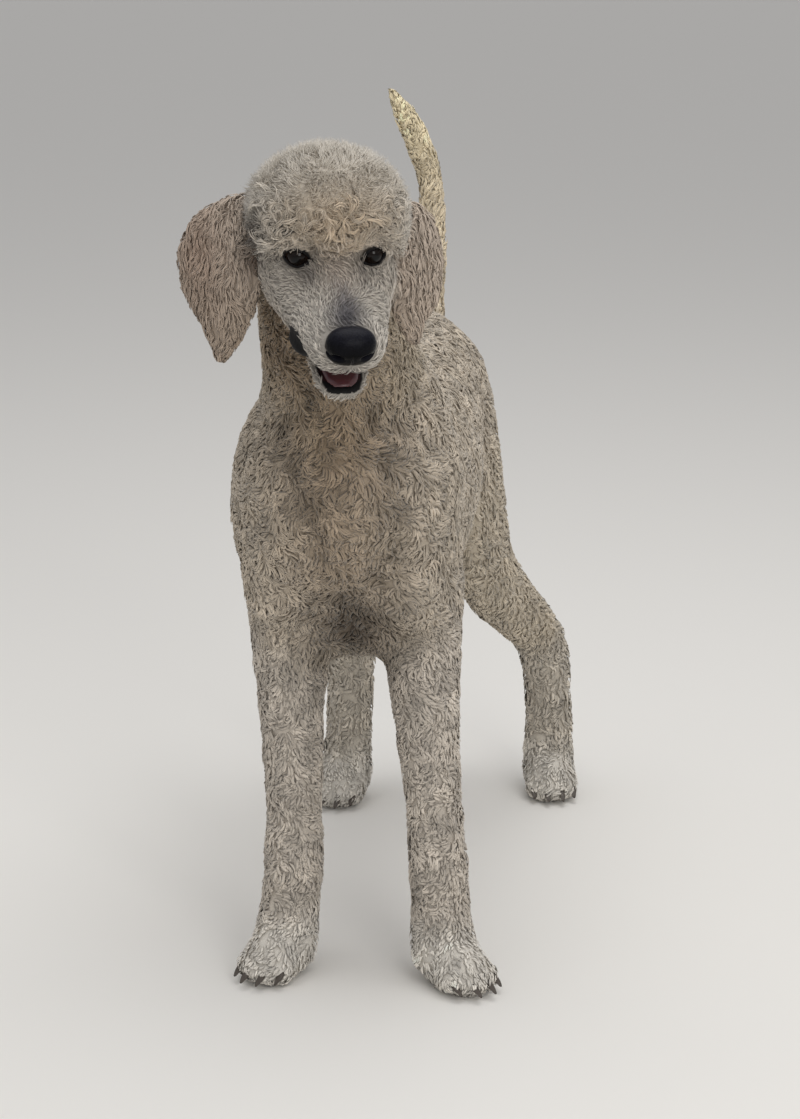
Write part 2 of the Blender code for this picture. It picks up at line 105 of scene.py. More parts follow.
def new_object(name, data):
    made = bpy.data.objects.new(name, data)
    bpy.context.scene.collection.objects.link(made)
    return made


def finished(bm, name):
    """A bmesh's work as a named mesh."""
    mesh = bpy.data.meshes.new(name)
    bm.to_mesh(mesh)
    bm.free()
    return mesh


def settle(obj):
    """Apply an object's modifiers to its mesh."""
    graph = bpy.context.evaluated_depsgraph_get()
    mesh = bpy.data.meshes.new_from_object(obj.evaluated_get(graph))
    obj.modifiers.clear()
    obj.data = mesh


def fuse(obj, voxel, rounds):
    """Close an object's shells into one surface and smooth it."""
    remesh = obj.modifiers.new("Close", "REMESH")
    remesh.mode = "VOXEL"
    remesh.voxel_size = voxel
    smooth = obj.modifiers.new("Smooth", "SMOOTH")
    smooth.factor = 0.5
    smooth.iterations = rounds
    settle(obj)


def merged_node(name, outwards):
    """A copy of a solid's mesh, with its loose triangles joined and its surface moved out."""
    bm = bmesh.new()
    bm.from_mesh(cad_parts[name].data)
    bmesh.ops.remove_doubles(bm, verts=bm.verts, dist=SAME_PLACE)
    bm.normal_update()
    for vert in bm.verts:
        vert.co += vert.normal * outwards
    return finished(bm, name + "_copy")


FLESH_NODES = sorted(set(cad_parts) - {"tongue", "nose", "eye_left", "eye_right"})
node_names = FLESH_NODES + ["nose", "eye_left", "eye_right"]
bm = bmesh.new()
for node in node_names:
    bm.from_mesh(merged_node(node, OUTLINE_OVERLAP))
outline = new_object("outline", finished(bm, "outline"))
fuse(outline, OUTLINE_VOXEL, OUTLINE_SMOOTHING)


def near_face(points):
    """True over the muzzle, lips and eyes."""
    x, y, z = in_head(points).T
    return (y < 0.045) & (y > -0.14) & (np.abs(x) < 0.068) & (z < 0.020) & (z > -0.105)


# The face keeps its fine mesh, and the rest is thinned.
group = outline.vertex_groups.new(name="body")
group.add(np.flatnonzero(~near_face(coordinates(outline.data))).tolist(), 1.0, "REPLACE")
thin = outline.modifiers.new("Thin", "DECIMATE")
thin.ratio = OUTLINE_BODY_SHARE
thin.vertex_group = "body"
settle(outline)

# Each eyeball's centre in the head's frame, and its side of the head.
EYE_RADIUS = 0.0115
FINE_ROUND_EYE = 0.0235
EYES = {
    "right": (np.array((-0.0318, -0.0010, 0.0026)), -1.0),
    "left": (np.array((0.0318, -0.0010, 0.0026)), 1.0),
}


def eye_axes(side):
    """The outward look of an eye, and the two directions across its opening."""
    look = np.array((side * 0.26, -0.96, 0.06))
    look /= np.linalg.norm(look)
    outer = np.array((side, 0.0, 0.18 + 0.09 * side))
    outer -= look * (outer @ look)
    outer /= np.linalg.norm(outer)
    up = np.cross(outer, look) * side
    return look, outer, up if up[2] > 0 else -up


def fine_zone(points):
    """True over the eyes, lips and chin, which carry the finest mesh."""
    p = in_head(points)
    lips = (p[:, 1] < -0.028) & (p[:, 2] < -0.044) & (p[:, 2] > -0.092)
    return np.any([lips] + [size_of(p - centre) < FINE_ROUND_EYE for centre, _ in EYES.values()], axis=0)


bm = bmesh.new()
bm.from_mesh(outline.data)
for zone in (near_face, fine_zone):
    chosen = zone(np.array([v.co for v in bm.verts]))
    edges = [e for e in bm.edges if chosen[e.verts[0].index] and chosen[e.verts[1].index]]
    bmesh.ops.subdivide_edges(bm, edges=edges, cuts=1, use_grid_fill=True)
    bmesh.ops.triangulate(bm, faces=[f for f in bm.faces if len(f.verts) > 3])
    bm.verts.index_update()
bm.to_mesh(outline.data)
bm.free()

shell = coordinates(outline.data)
tris = triangles(outline.data)
edge_ends = rows_of(outline.data.edges, "vertices", 2, np.int32)
edge_count = np.maximum(np.bincount(edge_ends.ravel(), minlength=len(shell)), 1)


def evened(values, rounds, where=None):
    """Values on the outline's points, averaged with their neighbours a number of times."""
    flat = values.reshape(len(values), -1).astype(float)
    for _ in range(rounds):
        mean = np.empty_like(flat)
        for i in range(flat.shape[1]):
            column = flat[:, i]
            mean[:, i] = np.bincount(edge_ends[:, 0], column[edge_ends[:, 1]], len(flat))
            mean[:, i] += np.bincount(edge_ends[:, 1], column[edge_ends[:, 0]], len(flat))
        mean /= edge_count[:, None]
        flat = 0.5 * (flat + mean) if where is None else flat + 0.5 * where[:, None] * (mean - flat)
    return flat.reshape(values.shape)


def point_normals(points):
    a, b, c = (points[tris[:, i]] for i in range(3))
    cross = np.cross(b - a, c - a)
    found = np.zeros_like(points)
    for i in range(3):
        for axis in range(3):
            found[:, axis] += np.bincount(tris[:, i], cross[:, axis], len(points))
    return unit(found)


def from_course(points, course):
    """How far points lie from a line through a few places."""
    apart = np.full(len(points), FAR_OFF)
    for start, end in zip(course[:-1], course[1:]):
        run = end - start
        part = np.clip((points - start) @ run / (run @ run), 0, 1)
        apart = np.minimum(apart, size_of(points - start - part[:, None] * run))
    return apart


shell = evened(shell, 3, near_face(shell))

# Each paw's place and turn, its toes, and a claw's run forward from its toe.
PAWS = (
    ((0.0925, -0.207, 0.016), 42),
    ((-0.0835, -0.205, 0.016), -20),
    ((0.1225, 0.387, 0.016), 14),
    ((-0.1135, 0.327, 0.016), -8),
)
PAW_TOP = 0.05
OFF_THE_FLOOR = 0.0004
TOES = ((-0.0230, -0.022), (-0.0085, -0.034), (0.0085, -0.034), (0.0230, -0.022))
TOE_MIDDLE = np.array((0.0, 0.0, -0.002))
TOE_RADII = np.array((0.0118, 0.0170, 0.0155))
CLAW_LINE = np.array(
    ((0.0, -0.009, -0.0015), (0.0, -0.017, -0.0045), (0.0, -0.0235, -0.0095), (0.0, -0.0260, -0.0130))
)
CLAW_REACH = 0.0065

# The solids' claws are drawn back into the round toes, because the claws here are their own piece.
toe_places = [
    Matrix.Translation(at) @ Matrix.Rotation(math.radians(turn), 4, "Z") @ Matrix.Translation((x, y, 0.0))
    for at, turn in PAWS
    for x, y in TOES
]
for place in toe_places:
    turn = np.array(place.to_3x3())
    at = np.array(place.translation)
    of_toe = (shell - at) @ turn
    from_middle = of_toe - TOE_MIDDLE
    swell = size_of(from_middle / TOE_RADII)
    on_claw = (from_course(of_toe, CLAW_LINE) < CLAW_REACH) & (swell > 1.0)
    drawn_back = (from_middle / np.maximum(swell, 1.0)[:, None] + TOE_MIDDLE) @ turn.T + at
    shell[on_claw] = drawn_back[on_claw]
shell = evened(shell, 4, shell[:, 2] < PAW_TOP)
shell[:, 2] = np.maximum(shell[:, 2], OFF_THE_FLOOR)

# The fringe's rim: its height over half the head's width, and how far it hangs in each place.
RIM_WIDTHS = (0, 0.040, 0.050, 0.060, 0.070)
RIM_HEIGHTS = (0.016, 0.014, 0.002, -0.001, 0.001)
RIM_BETWEEN_EYES = 0.0060
RIM_AT_TEMPLES = 0.0090
RIM_RIPPLE = 0.0022
EYE_ARCH_BACK = 0.0085
EYE_ARCH_UP = 0.0075
DOME_RADII = (0.076, 0.073, 0.066)
DOME_CENTRE_IN_RADII = (0, 0.62, 0.27)


def arched(points):
    """The fringe arches back over each eye, and hangs lower between the eyes and over the temples."""
    p = in_head(points)
    x, y, z = p.T
    for side in (-1, 1):
        over_eye = np.exp(-(((x - side * 0.033) / 0.013) ** 2) - (((z - 0.021) / 0.011) ** 2)) * (y < 0.012)
        y += EYE_ARCH_BACK * over_eye
        z += EYE_ARCH_UP * over_eye
    rim = np.interp(np.abs(x), RIM_WIDTHS, RIM_HEIGHTS)
    hangs = bell(x, 0.012) * RIM_BETWEEN_EYES + RIM_RIPPLE * np.sin(430 * x + 1.2)
    hangs += RIM_AT_TEMPLES * np.clip((np.abs(x) - 0.040) / 0.014, 0, 1)
    by_rim = bell(z - rim - 0.003, 0.009) * (y < 0.040) * (z > rim - 0.004)
    on_dome = size_of(p / np.array(DOME_RADII) - np.array(DOME_CENTRE_IN_RADII)) > 0.90
    z -= hangs * by_rim * on_dome
    return from_head(p)


shell = arched(shell)
normals = point_normals(shell)

# Hollows part the breast from the shoulders and recess the brisket, and loose folds run down the throat
# between hollows of their own. Each has its depth, inwards, its spread and its course over the body.
RELIEF = (
    (0.0070, 0.012, ((-0.072, -0.240, 0.556), (-0.047, -0.281, 0.520), (-0.036, -0.290, 0.490),
                     (-0.027, -0.279, 0.451), (-0.021, -0.261, 0.423))),
    (0.0060, 0.012, ((0.024, -0.239, 0.574), (0.035, -0.258, 0.530), (0.046, -0.267, 0.478),
                     (0.038, -0.257, 0.436), (0.024, -0.242, 0.408))),
    (0.0150, 0.019, ((-0.010, -0.222, 0.380), (-0.011, -0.193, 0.344), (-0.014, -0.170, 0.318))),
    (-0.0050, 0.0050, ((-0.084, -0.255, 0.679), (-0.079, -0.260, 0.665), (-0.073, -0.261, 0.650),
                       (-0.065, -0.257, 0.621), (-0.048, -0.253, 0.580))),
    (-0.0045, 0.0050, ((-0.064, -0.273, 0.662), (-0.060, -0.268, 0.641), (-0.055, -0.263, 0.620),
                       (-0.046, -0.260, 0.601))),
    (0.0045, 0.0060, ((-0.073, -0.263, 0.682), (-0.070, -0.266, 0.664), (-0.064, -0.267, 0.646),
                      (-0.054, -0.261, 0.616), (-0.037, -0.258, 0.576))),
    (0.0040, 0.0055, ((-0.053, -0.276, 0.664), (-0.050, -0.271, 0.643), (-0.044, -0.266, 0.622),
                      (-0.034, -0.262, 0.600))),
)
hollow = np.zeros(len(shell))
for sink, spread, course in RELIEF:
    near_course = bell(from_course(shell, np.array(course)), spread)
    shell -= normals * (sink * near_course)[:, None]
    hollow = np.maximum(hollow, near_course * (sink > 0))
normals = point_normals(shell)

# Each point of the outline knows the solid that it came from.
node_points, node_faces = [], []
for name in node_names:
    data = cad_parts[name].data
    node_faces.append(triangles(data) + sum(len(found) for found in node_points))
    node_points.append(coordinates(data))
node_of_face = np.repeat(np.arange(len(node_names)), [len(faces) for faces in node_faces])
node_tree = BVHTree.FromPolygons(np.concatenate(node_points).tolist(), np.concatenate(node_faces).tolist())
node_of_point = node_of_face[[node_tree.find_nearest(p)[2] for p in shell.tolist()]]


def on_nodes(*names):
    """1 on the outline's points that came from the named solids, 0 elsewhere."""
    return np.isin(node_of_point, [node_names.index(name) for name in names]).astype(float)


# The right ear's inner edge lies against the cheek.
EAR_TO_CHEEK = 0.0090
EAR_FORWARD = 0.0030
by_cheek = evened(on_nodes("ear_right") * np.clip((shell[:, 0] + 0.115) / 0.045, 0, 1), 3)
shell[:, 0] += EAR_TO_CHEEK * by_cheek
shell[:, 1] -= EAR_FORWARD * by_cheek

# The skin.
# A lean dog's hide over muscle and bone, in one piece from the lips to the tail, with no seam.
# It lies under the coat by the coat's own depth and shows between the locks, and it shapes the
# clipped face's eyelids, its lips and the mouth's corners.


def srgb(code):
    """An sRGB hex colour as linear red, green and blue."""
    parts = [int(code[i : i + 2], 16) / 255 for i in (0, 2, 4)]
    return np.array([c / 12.92 if c <= 0.04045 else ((c + 0.055) / 1.055) ** 2.4 for c in parts])


# The coat over each solid: its depth, its colour and its lie. It is cream-white and warmest on the tail,
# with the trunk and neck painted a little darker as the shade they stand in, and it lies down the limbs,
# neck and ears, down and back along the trunk and up the tail.
COATS = {
    "trunk": (0.0037, srgb("C6BAA9"), (0.0, 0.50, -0.86)),
    "neck": (0.0036, srgb("C3B6A2"), (0.0, 0.25, -0.97)),
    "tail": (0.0033, srgb("E0D0B4"), (-0.05, 0.05, 1.0)),
    "thigh": (0.0037, srgb("C8BCA9"), (0.0, 0.30, -0.95)),
    "hock": (0.0035, srgb("C6BDAF"), (0.0, 0.05, -1.0)),
    "foreleg": (0.0035, srgb("CFC5B8"), (0.0, 0.05, -1.0)),
    "forepaw": (0.0034, srgb("E8E2D8"), (0.0, -0.55, -0.83)),
    "hindpaw": (0.0034, srgb("E2DCD2"), (0.0, -0.55, -0.83)),
    "ear": (0.0034, srgb("CABBAC"), (0.0, 0.0, -1.0)),
    "head": (0.0016, srgb("D1CAC0"), (0.0, 0.0, -1.0)),
    "topknot": (0.0060, srgb("D8D1C6"), (0.0, 0.0, -1.0)),
    "lower_jaw": (0.0012, srgb("CFC8BE"), (0.0, 0.9, -0.4)),
    "nose": (0.0010, srgb("6A6668"), (0.0, 0.0, 1.0)),
    "eye": (0.0010, srgb("8A8580"), (0.0, 0.0, 1.0)),
}
DEPTH, COLOUR, LIE = range(3)


def by_node(column):
    """A value for each of the outline's points, from a column of the table of coats."""
    values = [COATS.get(name, COATS.get(name.split("_")[0]))[column] for name in node_names]
    return np.array(values)[node_of_point]


def smooth_step(values, start, end):
    t = np.clip((values - start) / (end - start), 0.0, 1.0)
    return t * t * (3 - 2 * t)


depth = evened(by_node(DEPTH), 14)
topknot_share = evened(on_nodes("topknot"), 10)
skin_points = shell - unit(evened(normals, 12)) * depth[:, None]

# Under the topknot the skin is the bare skull, several centimetres below the hair's tips.
SKULL_CENTRE = np.array((0.0, 0.045, -0.014))
SKULL_RADII = np.array((0.0560, 0.0600, 0.0500))
SKULL_BACK = np.array((1.0, 1.45, 1.0))
head_points = in_head(shell)
reach = head_points - SKULL_CENTRE
radii = np.where(reach[:, 1:2] > 0, SKULL_RADII * SKULL_BACK, SKULL_RADII)
swell = size_of(reach / radii)
drawn_in = from_head(SKULL_CENTRE + reach / np.maximum(swell, 1.0)[:, None])
bare = np.clip(topknot_share * 1.6, 0.0, 1.0)[:, None]
skin_points = skin_points * (1 - bare) + drawn_in * bare
depth = size_of(shell - skin_points)

# The step at the topknot's edge is eased, and the skin's folds are shaped in the head's frame.
ledge = smooth_step(evened(np.abs(topknot_share - 0.5) < 0.49, 8), 0.05, 0.5)
p = in_head(evened(skin_points, 30, ledge))
x, y, z = p.T

# The hair stops at the nose leather, and the skin turns in behind it.
NOSE_AT = np.array((0.0, -0.1045, -0.0245))
NOSE_RADII = np.array((0.0218, 0.0160, 0.0174))
NOSE_TILT = math.radians(12)
BEHIND_NOSE = -0.0965
from_nose_axis = np.hypot(x / NOSE_RADII[0], (z - NOSE_AT[2]) / NOSE_RADII[2])
turned_in = 1 - smooth_step(from_nose_axis, 0.80, 0.97)
y += turned_in * np.maximum(BEHIND_NOSE - y, 0.0)

# The lower jaw's upper edge runs forward and down from each corner of the mouth, and the flews hang past it.
JAW_EDGE_Y = (-0.0950, -0.0885, -0.0758, -0.0542, -0.0400, -0.0340)
JAW_EDGE_Z = (-0.0800, -0.0778, -0.0750, -0.0707, -0.0665, -0.0640)
MOUTH_CORNER = -0.036
FLEW_SWELL = 0.0036
FLEW_HEIGHT = -0.0555
JAW_LIP_SWELL = 0.0014
jaw_edge = np.interp(y, JAW_EDGE_Y, JAW_EDGE_Z)
flank = np.sign(x)
in_front = smooth_step(-y, -MOUTH_CORNER - 0.004, -MOUTH_CORNER + 0.010)
flew_edge = bell(z - FLEW_HEIGHT, 0.0060) * in_front * (1 - smooth_step(-y, 0.076, 0.094))
x += flank * FLEW_SWELL * flew_edge * smooth_step(np.abs(x), 0.014, 0.030)
jaw_side = bell(z - jaw_edge + 0.0040, 0.0050) * in_front
x += flank * JAW_LIP_SWELL * jaw_side * smooth_step(np.abs(x), 0.010, 0.020)

# A shallow furrow runs round the cheek bone under each eye.
FURROW_MIDDLE = np.array((0, -0.030, -0.016))
FURROW_RADII = np.array((0.034, 0.016, 0.007))
FURROW_DEPTH = 0.0008
y += FURROW_DEPTH * bell(size_of((p - FURROW_MIDDLE) / FURROW_RADII) - 0.9, 0.35)

# The lids: a thin wall stands over each eyeball, with an almond opening that slants up and outwards.
LID_SPHERE = EYE_RADIUS + 0.0012
OPENING_HALF_WIDTH = 0.0115
UPPER_LID_RISE = 0.0076
LOWER_LID_DROP = 0.0060
SKIRT_FROM = 0.0085
SKIRT_LENGTH = 0.0065
SOCKET_RADIUS = EYE_RADIUS - 0.0020
LID_CREASE = 0.0008
LID_SWELL = 0.0005
LID_SNAP = 0.00042


def inside_opening(u, v):
    """How far inside the almond a point lies, across the eye's face."""
    along = np.clip(np.abs(u / OPENING_HALF_WIDTH), 0, 1)
    rise = UPPER_LID_RISE * (1 - along**2.2) ** 0.8
    drop = LOWER_LID_DROP * (1 - along**2.0) ** 0.9
    found = np.where(v > 0, rise - v, drop + v)
    return np.where(np.abs(u) < OPENING_HALF_WIDTH, found, -np.hypot(np.abs(u) - OPENING_HALF_WIDTH, v))


def lid_height(across):
    """The lids' height over the eyeball's centre: the ball's own round, then a skirt into the face."""
    edge = math.sqrt(LID_SPHERE**2 - SKIRT_FROM**2)
    skirt = edge - SKIRT_FROM / edge * SKIRT_LENGTH * (1 - np.exp(-(across - SKIRT_FROM) / SKIRT_LENGTH))
    return np.where(across < SKIRT_FROM, np.sqrt(np.maximum(LID_SPHERE**2 - across**2, 1e-9)), skirt)


# The brow and cheek swell smoothly round the ball before the lids are drawn on it.
around = np.zeros(len(p))
for centre, side in EYES.values():
    look, outer, up = eye_axes(side)
    off = p - centre
    far = size_of(off)
    off *= (np.maximum(far, LID_SPHERE) / np.maximum(far, 1e-6))[:, None]
    u, v, w = off @ outer, off @ up, off @ look
    across = np.hypot(u, v)
    ease = (1 - smooth_step(across, 0.012, 0.024)) * (w > -0.006)
    w += ease * (lid_height(across) - w) * np.where(lid_height(across) > w, 1.0, 0.85)
    p = centre + np.outer(u, outer) + np.outer(v, up) + np.outer(w, look)
    ring = smooth_step(across, 0.0095, 0.0125) * (1 - smooth_step(across, 0.024, 0.030)) * (w > -0.02)
    around = np.maximum(around, ring)
p = evened(p, 24, around)

lid_edge = np.full(len(shell), FAR_OFF)
for centre, side in EYES.values():
    look, outer, up = eye_axes(side)
    off = p - centre
    u, v, w = off @ outer, off @ up, off @ look
    across = np.hypot(u, v)
    near = (across < 0.021) & (w > -0.002)
    # Points close to the lids' edge are drawn onto it, so that it runs clean.
    tiny = 1e-5
    inside = inside_opening(u, v)
    slope_u = (inside_opening(u + tiny, v) - inside) / tiny
    slope_v = (inside_opening(u, v + tiny) - inside) / tiny
    steep = np.maximum(slope_u**2 + slope_v**2, 0.3)
    onto = near & (np.abs(inside) < LID_SNAP)
    u = np.where(onto, u - inside * slope_u / steep, u)
    v = np.where(onto, v - inside * slope_v / steep, v)
    inside = np.where(onto, 0.0, inside)
    across = np.hypot(u, v)
    crease = LID_CREASE * bell(inside + 0.0042, 0.0010) * (v > 0)
    swollen = LID_SWELL * bell(inside + 0.0016, 0.0013)
    lid = lid_height(across) - crease + swollen
    socket = np.sqrt(np.maximum(SOCKET_RADIUS**2 - across**2, 0.0))
    blend = np.where(near, 1 - smooth_step(across, 0.0110, 0.0150), 0.0)
    w = np.where(inside > 0, socket, w * (1 - blend) + lid * blend)
    moved = centre + np.outer(u, outer) + np.outer(v, up) + np.outer(w, look)
    p = np.where((near & (across < 0.0152))[:, None], moved, p)
    lid_edge = np.where(near, np.minimum(lid_edge, -inside), lid_edge)
skin_points = from_head(p)

# On the clipped face the outline follows the finished skin, a hair's depth above it.
FACE_HAIR_DEPTH = 0.0013
FACE_NODES = ("head", "lower_jaw", "nose", "eye_left", "eye_right")
clipped = smooth_step(evened(on_nodes(*FACE_NODES), 5) * (1 - topknot_share), 0.3, 0.9)[:, None]
shell = shell * (1 - clipped) + (skin_points + point_normals(skin_points) * FACE_HAIR_DEPTH) * clipped
normals = point_normals(shell)


def put_points(mesh, points):
    mesh.vertices.foreach_set("co", points.astype(np.float32).ravel())
    mesh.update()


skin = new_object("skin", outline.data.copy())
bpy.data.objects.remove(outline)
put_points(skin.data, skin_points)
skin.data.shade_smooth()


def add_node(material, kind, settings=None, **inputs):
    """A shader node with its settings, its values and the links into it."""
    tree = material.node_tree
    made = tree.nodes.new(kind)
    for name, value in (settings or {}).items():
        setattr(made, name, value)
    for name, value in inputs.items():
        socket = made.inputs[int(name[1:])] if name[1:].isdigit() else made.inputs[name.replace("_", " ")]
        if isinstance(value, bpy.types.NodeSocket):
            tree.links.new(value, socket)
        else:
            socket.default_value = value
    return made


def new_material(name, **values):
    """A Principled material, with its constants set on the shader's own sockets."""
    made = bpy.data.materials.new(name)
    made.use_nodes = True
    shader = made.node_tree.nodes["Principled BSDF"]
    for key, value in values.items():
        shader.inputs[key.replace("_", " ")].default_value = value
    return made, shader


def dress(material, shader, **outputs):
    """Link the last nodes' outputs into the shader."""
    for name, output in outputs.items():
        material.node_tree.links.new(output, shader.inputs[name.replace("_", " ")])


def paint(mesh, name, colours):
    attribute = mesh.color_attributes.new(name, "FLOAT_COLOR", "POINT")
    rgba = np.ones((len(colours), 4), np.float32)
    rgba[:, :3] = colours
    attribute.data.foreach_set("color", rgba.ravel())


def tinted(colours, share, code):
    """Colours drawn towards another by each point's share."""
    return colours + share[:, None] * (srgb(code) - colours)


# Softly bounded markings: apricot on the chest, throat, right ear and fringe, with the chest and throat
# deepened by painted shade under the head; pale between the eyes; painted sunlight at the tail's tip;
# painted shade on the brisket, under the jaw, in the gap before the right ear and down its front edge;
# grey-black on the bridge and lips; and grey-black round the eyes, partly their dark rims and partly
# painted shade under the fringe. Each has its frame, the head's or the dog's, its place, radii, colour
# and strength.
MARKINGS = (
    # Apricot chest, deepened by painted shade under the head.
    ("dog", (-0.01, -0.250, 0.500), (0.058, 0.080, 0.135), "91795E", 0.78),
    # Painted shade under the brisket, between the forelegs.
    ("dog", (-0.012, -0.195, 0.338), (0.044, 0.060, 0.056), "4A3A2C", 0.85),
    # Apricot throat, deepened by painted shade under the head.
    ("dog", (-0.030, -0.300, 0.640), (0.090, 0.060, 0.080), "9A8062", 0.70),
    ("dog", (-0.130, -0.30, 0.725), (0.030, 0.050, 0.050), "A88670", 0.45),
    # Painted shade on the throat under the jaw.
    ("dog", (-0.075, -0.255, 0.635), (0.035, 0.050, 0.060), "7E6A55", 0.70),
    # Painted sunlight on the tail's tip.
    ("dog", (0.0, 0.45, 0.81), (0.20, 0.20, 0.075), "FFF0C8", 0.90),
    ("head", (0.0, -0.020, 0.040), (0.060, 0.040, 0.034), "C6A87E", 0.55),
    ("head", (0.0, -0.082, -0.012), (0.0155, 0.024, 0.016), "3E3C46", 0.95),
    ("head", (0.0, -0.058, -0.006), (0.0085, 0.022, 0.012), "57545C", 0.75),
    ("head", (0.0, -0.099, -0.0545), (0.0160, 0.012, 0.0075), "3A3537", 0.85),
    ("head", (0.0, -0.030, 0.004), (0.016, 0.022, 0.014), "DCCDBF", 0.75),
    # Round each eye: its dark rims, and painted shade under the fringe.
    ("head", (0.0318, -0.010, 0.0010), (0.0135, 0.020, 0.0090), "2C2624", 0.90),
    ("head", (-0.0318, -0.010, 0.0010), (0.0135, 0.020, 0.0090), "2C2624", 0.90),
    ("head", (0.022, -0.024, -0.012), (0.006, 0.014, 0.008), "57504F", 0.70),
    ("head", (-0.022, -0.024, -0.012), (0.006, 0.014, 0.008), "57504F", 0.70),
    # Painted shade in the gap before the right ear, and down its front edge.
    ("head", (-0.0705, 0.031, 0.007), (0.014, 0.0130, 0.021), "281A12", 0.95),
    ("head", (-0.0660, 0.035, -0.022), (0.011, 0.011, 0.020), "4A3526", 0.80),
)
HOLLOW_SHADE = 0.34


def coat_colour(points, base):
    """The coat's colour at points on the body, from the base colours and the markings."""
    found = base
    of_head = in_head(points)
    for place, centre, size, code, strength in MARKINGS:
        here = of_head if place == "head" else points
        share = strength * np.exp(-(((here - np.array(centre)) / np.array(size)) ** 2).sum(axis=1))
        found = tinted(found, share, code)
    return found


# In the hollows the coat is painted darker, as shade.
shell_colours = coat_colour(shell, evened(by_node(COLOUR), 10)) * (1 - HOLLOW_SHADE * hollow)[:, None]

# The lips' black edge runs from each corner of the mouth, under the nose, and round the lower jaw.
RIM_BLACK = "0B090A"
MOUTH_FLOOR = "35181A"
JAW_TOP = -0.0600
FLEW_LOW_Y = (-0.104, -0.085, -0.070, -0.055, -0.036)
FLEW_LOW_Z = (-0.0560, -0.0560, -0.0565, -0.0560, -0.0585)
JAW_WIDTH_Y = (-0.0985, -0.0960, -0.0930, -0.0885, -0.0758, -0.0542)
JAW_HALF_WIDTH = (0.0030, 0.0090, 0.0130, 0.0165, 0.0210, 0.0230)
ROLLED_Y = (-0.098, -0.086, -0.078, -0.073, -0.066, -0.055, -0.036)
ROLLED_Z = (-0.0520, -0.0468, -0.0448, -0.0402, -0.0350, -0.0362, -0.0440)
x, y, z = in_head(skin_points).T
half_width = np.abs(x)
facing_up = (point_normals(skin_points) @ HEAD_TURN)[:, 2]
jaw_edge = np.interp(y, JAW_EDGE_Y, JAW_EDGE_Z)
behind_lips = smooth_step(-y, -MOUTH_CORNER - 0.003, -MOUTH_CORNER + 0.004)
on_mouth = (y > -0.112) * (z > -0.105) * (half_width < 0.046) * behind_lips

# It shows where the flews' skin turns under, and along the jaw's rim and over its front.
flew_low = np.interp(y, FLEW_LOW_Y, FLEW_LOW_Z)
under_flew = smooth_step(-z, -flew_low, -flew_low + 0.0012) * smooth_step(0.35 - facing_up, 0.0, 0.3)
under_flew *= z > jaw_edge + 0.0010
lip_low = jaw_edge - 0.0028 + 0.0050 * (half_width / 0.016) ** 2
jaw_rim = smooth_step(z, lip_low, lip_low + 0.0010) * (z < -0.0625) * (z < jaw_edge + 0.006)
jaw_rim = jaw_rim * smooth_step(-y, 0.080, 0.089)
inward = np.interp(y, JAW_WIDTH_Y, JAW_HALF_WIDTH) - half_width
on_jaw = (facing_up > 0.35) * (z < JAW_TOP) * smooth_step(inward, 0.0016, 0.0030)
# The flews' rolled edge shows black along their sides, deepest behind.
rolled = smooth_step(np.interp(y, ROLLED_Y, ROLLED_Z) - z, 0.0, 0.0014) * (half_width > 0.016) * (z > -0.0640)
band = np.maximum(np.maximum(under_flew, np.maximum(jaw_rim, on_jaw)), rolled) * on_mouth
band = np.clip(evened(band, 1), 0, 1)
gum = (facing_up > 0.25) * (z < JAW_TOP) * smooth_step(inward, 0.0035, 0.0055)
gum *= smooth_step(y, -0.0800, -0.0760)
gum = np.clip(evened(gum * on_mouth, 2), 0, 1)

# The skin is darker than its coat, by far the most on the face, so that the gaps between hairs read as shade.
skin_colours = shell_colours * (0.56 + 0.38 * smooth_step(depth, 0.0018, 0.0040))[:, None]
skin_colours = tinted(skin_colours, 1 - smooth_step(lid_edge, 0.0020, 0.0042), RIM_BLACK)
skin_colours = tinted(skin_colours, band, RIM_BLACK)
skin_colours = tinted(skin_colours, gum, MOUTH_FLOOR)
paint(skin.data, "hide", skin_colours)

# Short-clipped skin: pale, dry and finely haired, which gives the eye a soft, slightly rough surface.
# Its hairs, 1 mm apart and 4 mm long, run back from the nose, and are drawn coarse enough to show.
hide, shader = new_material("clipped_hide", Roughness=0.62, Specular_IOR_Level=0.2)
colour = add_node(hide, "ShaderNodeAttribute", {"attribute_name": "hide"})
where = add_node(hide, "ShaderNodeTexCoord")
turned = add_node(hide, "ShaderNodeMapping", Vector=where.outputs["Object"],
                  Rotation=(-HEAD_NOD, 0, -HEAD_SWING), Scale=(1.0, 0.25, 1.0))
hairs = add_node(hide, "ShaderNodeTexNoise", Vector=turned.outputs["Vector"], Scale=900.0, Detail=2.0)
bump = add_node(hide, "ShaderNodeBump", Strength=0.6, Distance=0.0006, Height=hairs.outputs["Fac"])
tone = add_node(hide, "ShaderNodeMapRange", Value=hairs.outputs["Fac"], _1=0.3, _2=0.7, _3=0.86, _4=1.08)
mixed = add_node(hide, "ShaderNodeVectorMath", {"operation": "SCALE"}, _0=colour.outputs["Color"],
                 Scale=tone.outputs["Result"])
dress(hide, shader, Base_Color=mixed.outputs["Vector"], Normal=bump.outputs["Normal"])
skin.data.materials.append(hide)
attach(skin, "root")
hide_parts(*FLESH_NODES)

# The eyes.
# A dog's dark brown eyes: a ball 23 mm across with a clear bulging cornea over the iris.
# The lids' black rims hold them, and they sit as deep as the lids leave them.

IRIS_ANGLE = math.radians(42)
CORNEA_BULGE = 0.0009
# From the pupil's middle out, as shares of the way round the ball: pupil, iris, its dark rim, and the white.
EYE_RINGS = (
    (0.0, "020202"), (0.075, "030202"), (0.10, "0E0704"), (0.19, "140A05"),
    (0.225, "040302"), (0.26, "1E1410"), (0.45, "4A3B32"),
)

